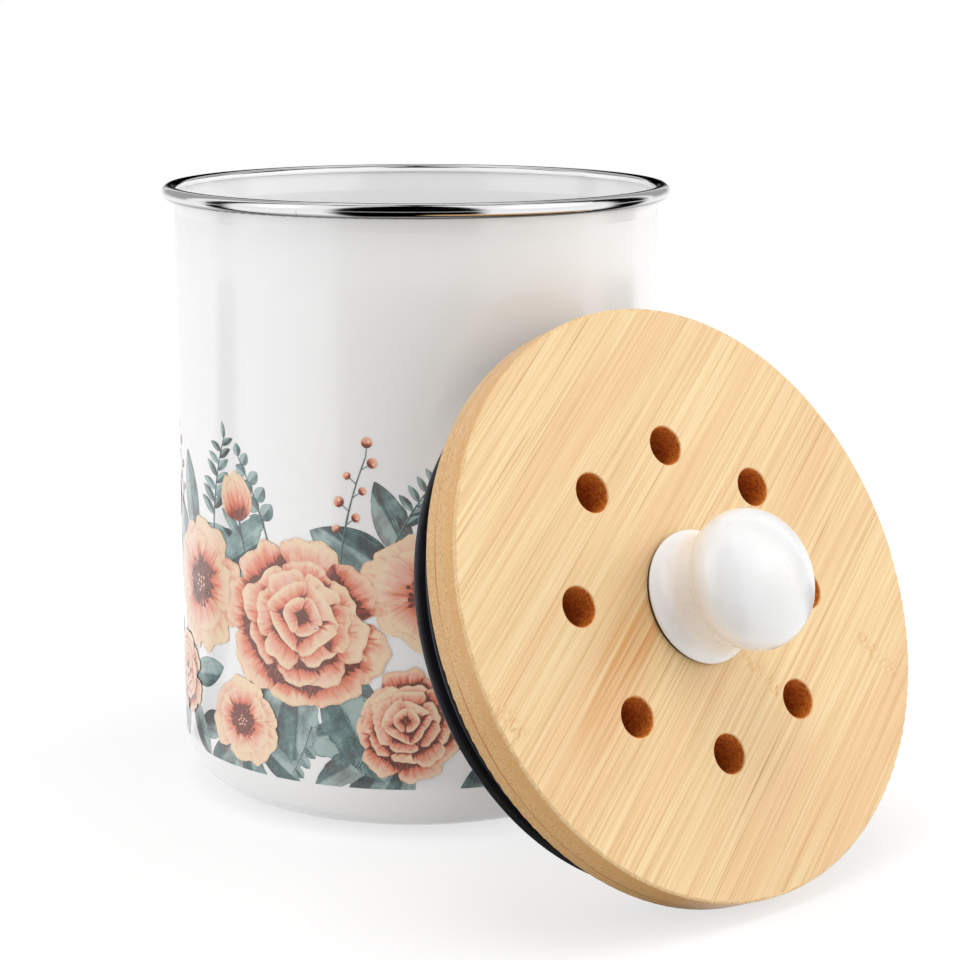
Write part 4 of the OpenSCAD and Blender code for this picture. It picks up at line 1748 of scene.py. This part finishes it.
@dataclass
class Knob:
    """The porcelain knob with what holds it to the lid."""

    effects: Effects
    lid: LidFrame

    def build(self, nodes: dict[str, bpy.types.Object]) -> None:
        """Dresses the knob, its insert, its washer and the stud with its nut.

        Args:
            nodes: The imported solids.
        """
        glaze = Porcelain("knob_porcelain", self.effects, (0.88, 0.88, 0.878), 0.2)
        brass = TurnedMetal("insert_brass", self.effects, (0.72, 0.53, 0.22), 0.3, self.lid)
        rubber = Silicone("washer_rubber", self.effects, srgb(34, 34, 38), 0.55, 0.1)
        steel = TurnedMetal("fixing_steel", self.effects, (0.62, 0.62, 0.63), 0.3, self.lid)
        dress(nodes, glaze, "knob")
        dress(nodes, brass, "knob_insert")
        dress(nodes, rubber, "knob_washer")
        dress(nodes, steel, "lid_stud", "stud_washer", "stud_nut")


@dataclass
class SealAndFilter:
    """The finned seal, and the charcoal filter with its cover and thumb nut."""

    effects: Effects

    def build(self, nodes: dict[str, bpy.types.Object]) -> None:
        """Dresses the seal, the pad, the cover and the thumb nut.

        Args:
            nodes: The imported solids.
        """
        dress(nodes, Silicone("seal_silicone", self.effects, srgb(30, 31, 36), 0.42), "seal_ring")
        dress(nodes, CharcoalFelt("charcoal_felt", self.effects, srgb(52, 52, 54), 0.9), "charcoal_filter")
        dress(nodes, MouldedPlastic("cover_plastic", self.effects, srgb(226, 227, 225), 0.4), "filter_cover")
        dress(nodes, MouldedPlastic("nut_plastic", self.effects, srgb(46, 46, 48), 0.42), "thumb_nut")


# ----------------------------------------------------------------------- studio

@dataclass(frozen=True)
class SoftBox:
    """One soft lamp, placed by its bearing from the camera's side."""

    name: str
    bearing: float
    distance: float
    height: float
    width: float
    tall: float
    power: float


@dataclass(frozen=True)
class Card:
    """A patch of a dome that only reflections see, in degrees from the camera's side.

    Its level is 0 for a black card and above 1 for a lit one, and it fades out
    over the given share of its width and of its height.
    """

    name: str
    start: float
    end: float
    low: float
    high: float
    level: float
    fade_side: float = 0.4
    fade_top: float = 0.2
    radius: float = 1.5


@dataclass
class Studio:
    """The pale floor, the white surroundings, the lamps and the camera."""

    camera_bearing: float = -40.4
    camera_distance: float = 0.8361
    camera_height: float = 0.2673
    camera_pitch: float = 11.28
    camera_yaw: float = 1.44
    camera_roll: float = -0.01
    focal_length: float = 94.52
    ambient: float = 0.60
    rim_height: float = 0.20
    floor_radius: float = 12.0
    floor_drop: float = 0.0002
    floor_fade: tuple[float, float] = (0.35, 1.1)
    floor_paint: float = 0.80
    floor_seen: float = 0.31
    floor_lift: float = 0.69
    target: Vector = field(default_factory=lambda: Vector((0.03, 0.0, 0.10)))
    lamps: tuple[SoftBox, ...] = (
        SoftBox("left_softbox", -84.0, 1.35, 0.45, 1.1, 1.3, 6.0),
        SoftBox("front_softbox", 66.0, 1.5, 0.85, 1.2, 0.8, 3.4),
        SoftBox("right_softbox", 105.0, 1.5, 0.45, 1.0, 1.2, 8.4),
        SoftBox("top_softbox", 10.0, 0.25, 1.6, 1.0, 1.0, 10.5),
    )
    cards: tuple[Card, ...] = (
        Card("front_card", -41.0, 33.0, -8.0, 118.0, 0.0, 0.25, 0.12),
        Card("left_card", -110.0, -86.0, -8.0, 118.0, 0.0, 0.8, 0.12),
        Card("right_card", 90.0, 128.0, -8.0, 118.0, 0.0, 0.6, 0.12),
        Card("far_left_card", -162.0, -118.0, -9.0, 70.0, 0.40, 0.3, 0.4),
        Card("far_right_card", 128.0, 162.0, -9.0, 70.0, 0.40, 0.3, 0.4),
        Card("back_card", 158.0, 202.0, -9.0, 46.0, 0.0, 0.5, 0.5, 1.45),
        Card("left_glow", -84.0, -50.0, 4.0, 54.0, 1.9, 1.0, 1.0),
        Card("right_glow", 32.0, 92.0, 4.0, 58.0, 1.8, 1.0, 1.0),
    )
    apron_start: float = 0.095
    apron_end: float = 1.55
    apron_height: float = 0.0004

    def spot(self, bearing: float, distance: float, height: float) -> Vector:
        """Gives the place at a bearing in degrees, 0 at the camera and rising to its right."""
        angle = math.radians(self.camera_bearing + bearing)
        return Vector((distance * math.cos(angle), distance * math.sin(angle), height))

    def build(self) -> None:
        """Sets up the whole studio."""
        self.add_world()
        self.add_floor()
        for lamp in self.lamps:
            self.add_lamp(lamp)
        for card in self.cards:
            self.add_dome_card(card)
        for card in self.cards[:3]:
            self.add_apron(card)
        self.add_camera()
        bpy.context.scene.view_settings.view_transform = "Standard"

    def add_world(self) -> None:
        """Lights with a soft grey sky that looks plain white in the picture."""
        world = bpy.data.worlds.new("studio_world")
        world.use_nodes = True
        graph = Graph(world.node_tree)
        world.node_tree.nodes.clear()
        level = graph.smooth(graph.seen(), 0.0, 1.0, self.ambient, 1.0)
        sky = graph.add("ShaderNodeBackground", {"Color": WHITE, "Strength": level})
        graph.add("ShaderNodeOutputWorld", {"Surface": sky.outputs[0]})
        bpy.context.scene.world = world

    def add_floor(self) -> None:
        """Lays a round pale floor that fades to plain white away from the object."""
        mesh = bpy.data.meshes.new("floor")
        sides = 96
        turns = [math.tau * side / sides for side in range(sides)]
        ring = [(self.floor_radius * math.cos(turn), self.floor_radius * math.sin(turn), -self.floor_drop)
                for turn in turns]
        mesh.from_pydata(ring, [], [tuple(range(sides))])
        floor = bpy.data.objects.new("floor", mesh)
        bpy.context.scene.collection.objects.link(floor)
        material, graph = bare_material("pale_floor")
        place = graph.add("ShaderNodeTexCoord").outputs["Object"]
        away = graph.add("ShaderNodeVectorMath", {0: place}, operation="LENGTH").outputs["Value"]
        seen = graph.seen()
        tone = graph.smooth(seen, 0.0, 1.0, self.floor_paint, self.floor_seen)
        paint = graph.add("ShaderNodeBsdfDiffuse", {"Color": graph.combine(tone, tone, tone)}).outputs[0]
        lift = graph.add("ShaderNodeEmission", {"Strength": graph.times(seen, self.floor_lift)})
        near = graph.add("ShaderNodeAddShader", {0: paint, 1: lift.outputs[0]}).outputs[0]
        white = graph.add("ShaderNodeEmission", {"Strength": 1.0}).outputs[0]
        far = graph.times(graph.smooth(away, *self.floor_fade), seen)
        surface = graph.add("ShaderNodeMixShader", {0: far, 1: near, 2: white}).outputs[0]
        graph.add("ShaderNodeOutputMaterial", {"Surface": surface})
        mesh.materials.append(material)

    def add_lamp(self, lamp: SoftBox) -> None:
        """Adds one soft lamp that faces the object.

        Args:
            lamp: The lamp.
        """
        data = bpy.data.lights.new(lamp.name, "AREA")
        data.shape = "RECTANGLE"
        data.size = lamp.width
        data.size_y = lamp.tall
        data.energy = lamp.power
        holder = bpy.data.objects.new(lamp.name, data)
        holder.location = self.spot(lamp.bearing, lamp.distance, lamp.height)
        holder.rotation_euler = (self.target - holder.location).to_track_quat("-Z", "Y").to_euler()
        holder.visible_camera = False
        holder.visible_glossy = False
        bpy.context.scene.collection.objects.link(holder)

    def add_dome_card(self, card: Card) -> None:
        """Adds one card of the dome round the rim.

        Args:
            card: The card.
        """
        def spot(across: float, up: float) -> Vector:
            """Gives one point of the card.

            Args:
                across: The share of its width.
                up: The share of its height.

            Returns:
                The point.
            """
            bearing = card.start + (card.end - card.start) * across
            rise = math.radians(card.low + (card.high - card.low) * up)
            height = self.rim_height + card.radius * math.sin(rise)
            return self.spot(bearing, card.radius * math.cos(rise), height)

        self.add_card(card, spot)

    def add_apron(self, card: Card) -> None:
        """Carries a card on over the floor, towards the canister.

        Args:
            card: The card of the dome that the apron belongs to.
        """
        def spot(across: float, up: float) -> Vector:
            """Gives one point of the apron.

            Args:
                across: The share of its width.
                up: The share of its depth.

            Returns:
                The point.
            """
            bearing = card.start + (card.end - card.start) * across
            reach = self.apron_start + (self.apron_end - self.apron_start) * up
            return self.spot(bearing, reach, self.apron_height)

        apron = replace(card, name=f"{card.name}_apron", fade_top=0.05)
        self.add_card(apron, spot)

    def add_card(self, card: Card, spot: Callable[[float, float], Vector]) -> None:
        """Adds one card with soft edges, seen only by reflections.

        Args:
            card: The card.
            spot: Gives a point of it at a share of its width and of its height.
        """
        columns, rows = 24, 16
        grid = [(column / columns, row / rows) for column in range(columns + 1) for row in range(rows + 1)]
        faces = []
        for column in range(columns):
            for row in range(rows):
                first = column * (rows + 1) + row
                faces.append((first, first + rows + 1, first + rows + 2, first + 1))
        mesh = bpy.data.meshes.new(card.name)
        mesh.from_pydata([tuple(spot(across, up)) for across, up in grid], [], faces)
        shares = [share for place in grid for share in (*place, 0.0)]
        mesh.attributes.new("share", "FLOAT_VECTOR", "POINT").data.foreach_set("vector", shares)
        material, graph = bare_material(card.name)
        across, up, _ = graph.separate(graph.attribute("share"))
        cover = graph.times(self.inward(graph, across, card.fade_side), self.inward(graph, up, card.fade_top))
        clear = graph.add("ShaderNodeBsdfTransparent").outputs[0]
        glow = graph.add("ShaderNodeEmission", {"Color": WHITE, "Strength": card.level}).outputs[0]
        surface = graph.add("ShaderNodeMixShader", {0: cover, 1: clear, 2: glow}).outputs[0]
        graph.add("ShaderNodeOutputMaterial", {"Surface": surface})
        mesh.materials.append(material)
        holder = bpy.data.objects.new(card.name, mesh)
        for ray in ("camera", "diffuse", "transmission", "volume_scatter", "shadow"):
            setattr(holder, f"visible_{ray}", False)
        bpy.context.scene.collection.objects.link(holder)

    @staticmethod
    def inward(graph: Graph, share: Socket, fade: float) -> Socket:
        """Rises from 0 at both ends of a card to 1, over a share of half its size."""
        return graph.smooth(graph.gap(share, 0.5), 0.5 * (1.0 - fade), 0.5, 1.0, 0.0)

    def add_camera(self) -> None:
        """Adds the camera at the photograph's place and angle."""
        data = bpy.data.cameras.new("camera")
        data.lens = self.focal_length
        data.sensor_width = 36.0
        data.clip_start = 0.01
        camera = bpy.data.objects.new("camera", data)
        camera.location = self.spot(0.0, self.camera_distance, self.camera_height)
        camera.rotation_euler = (math.radians(90.0 - self.camera_pitch), math.radians(self.camera_roll),
                                 math.radians(self.camera_bearing + 90.0 - self.camera_yaw))
        bpy.context.scene.collection.objects.link(camera)
        bpy.context.scene.camera = camera


def main() -> None:
    """Builds the studio and dresses the object, piece by piece."""
    logging.basicConfig(level=logging.INFO, format="%(name)s: %(message)s")
    nodes = frame["nodes"]
    effects = Effects()
    lid = LidFrame.of_lid(frame["joints"], nodes["lid_disc"])
    Studio().build()
    Canister(effects).build(nodes)
    LidBoard(effects, lid).build(nodes)
    Knob(effects, lid).build(nodes)
    SealAndFilter(effects).build(nodes)


if __name__ == "__main__":
    main()
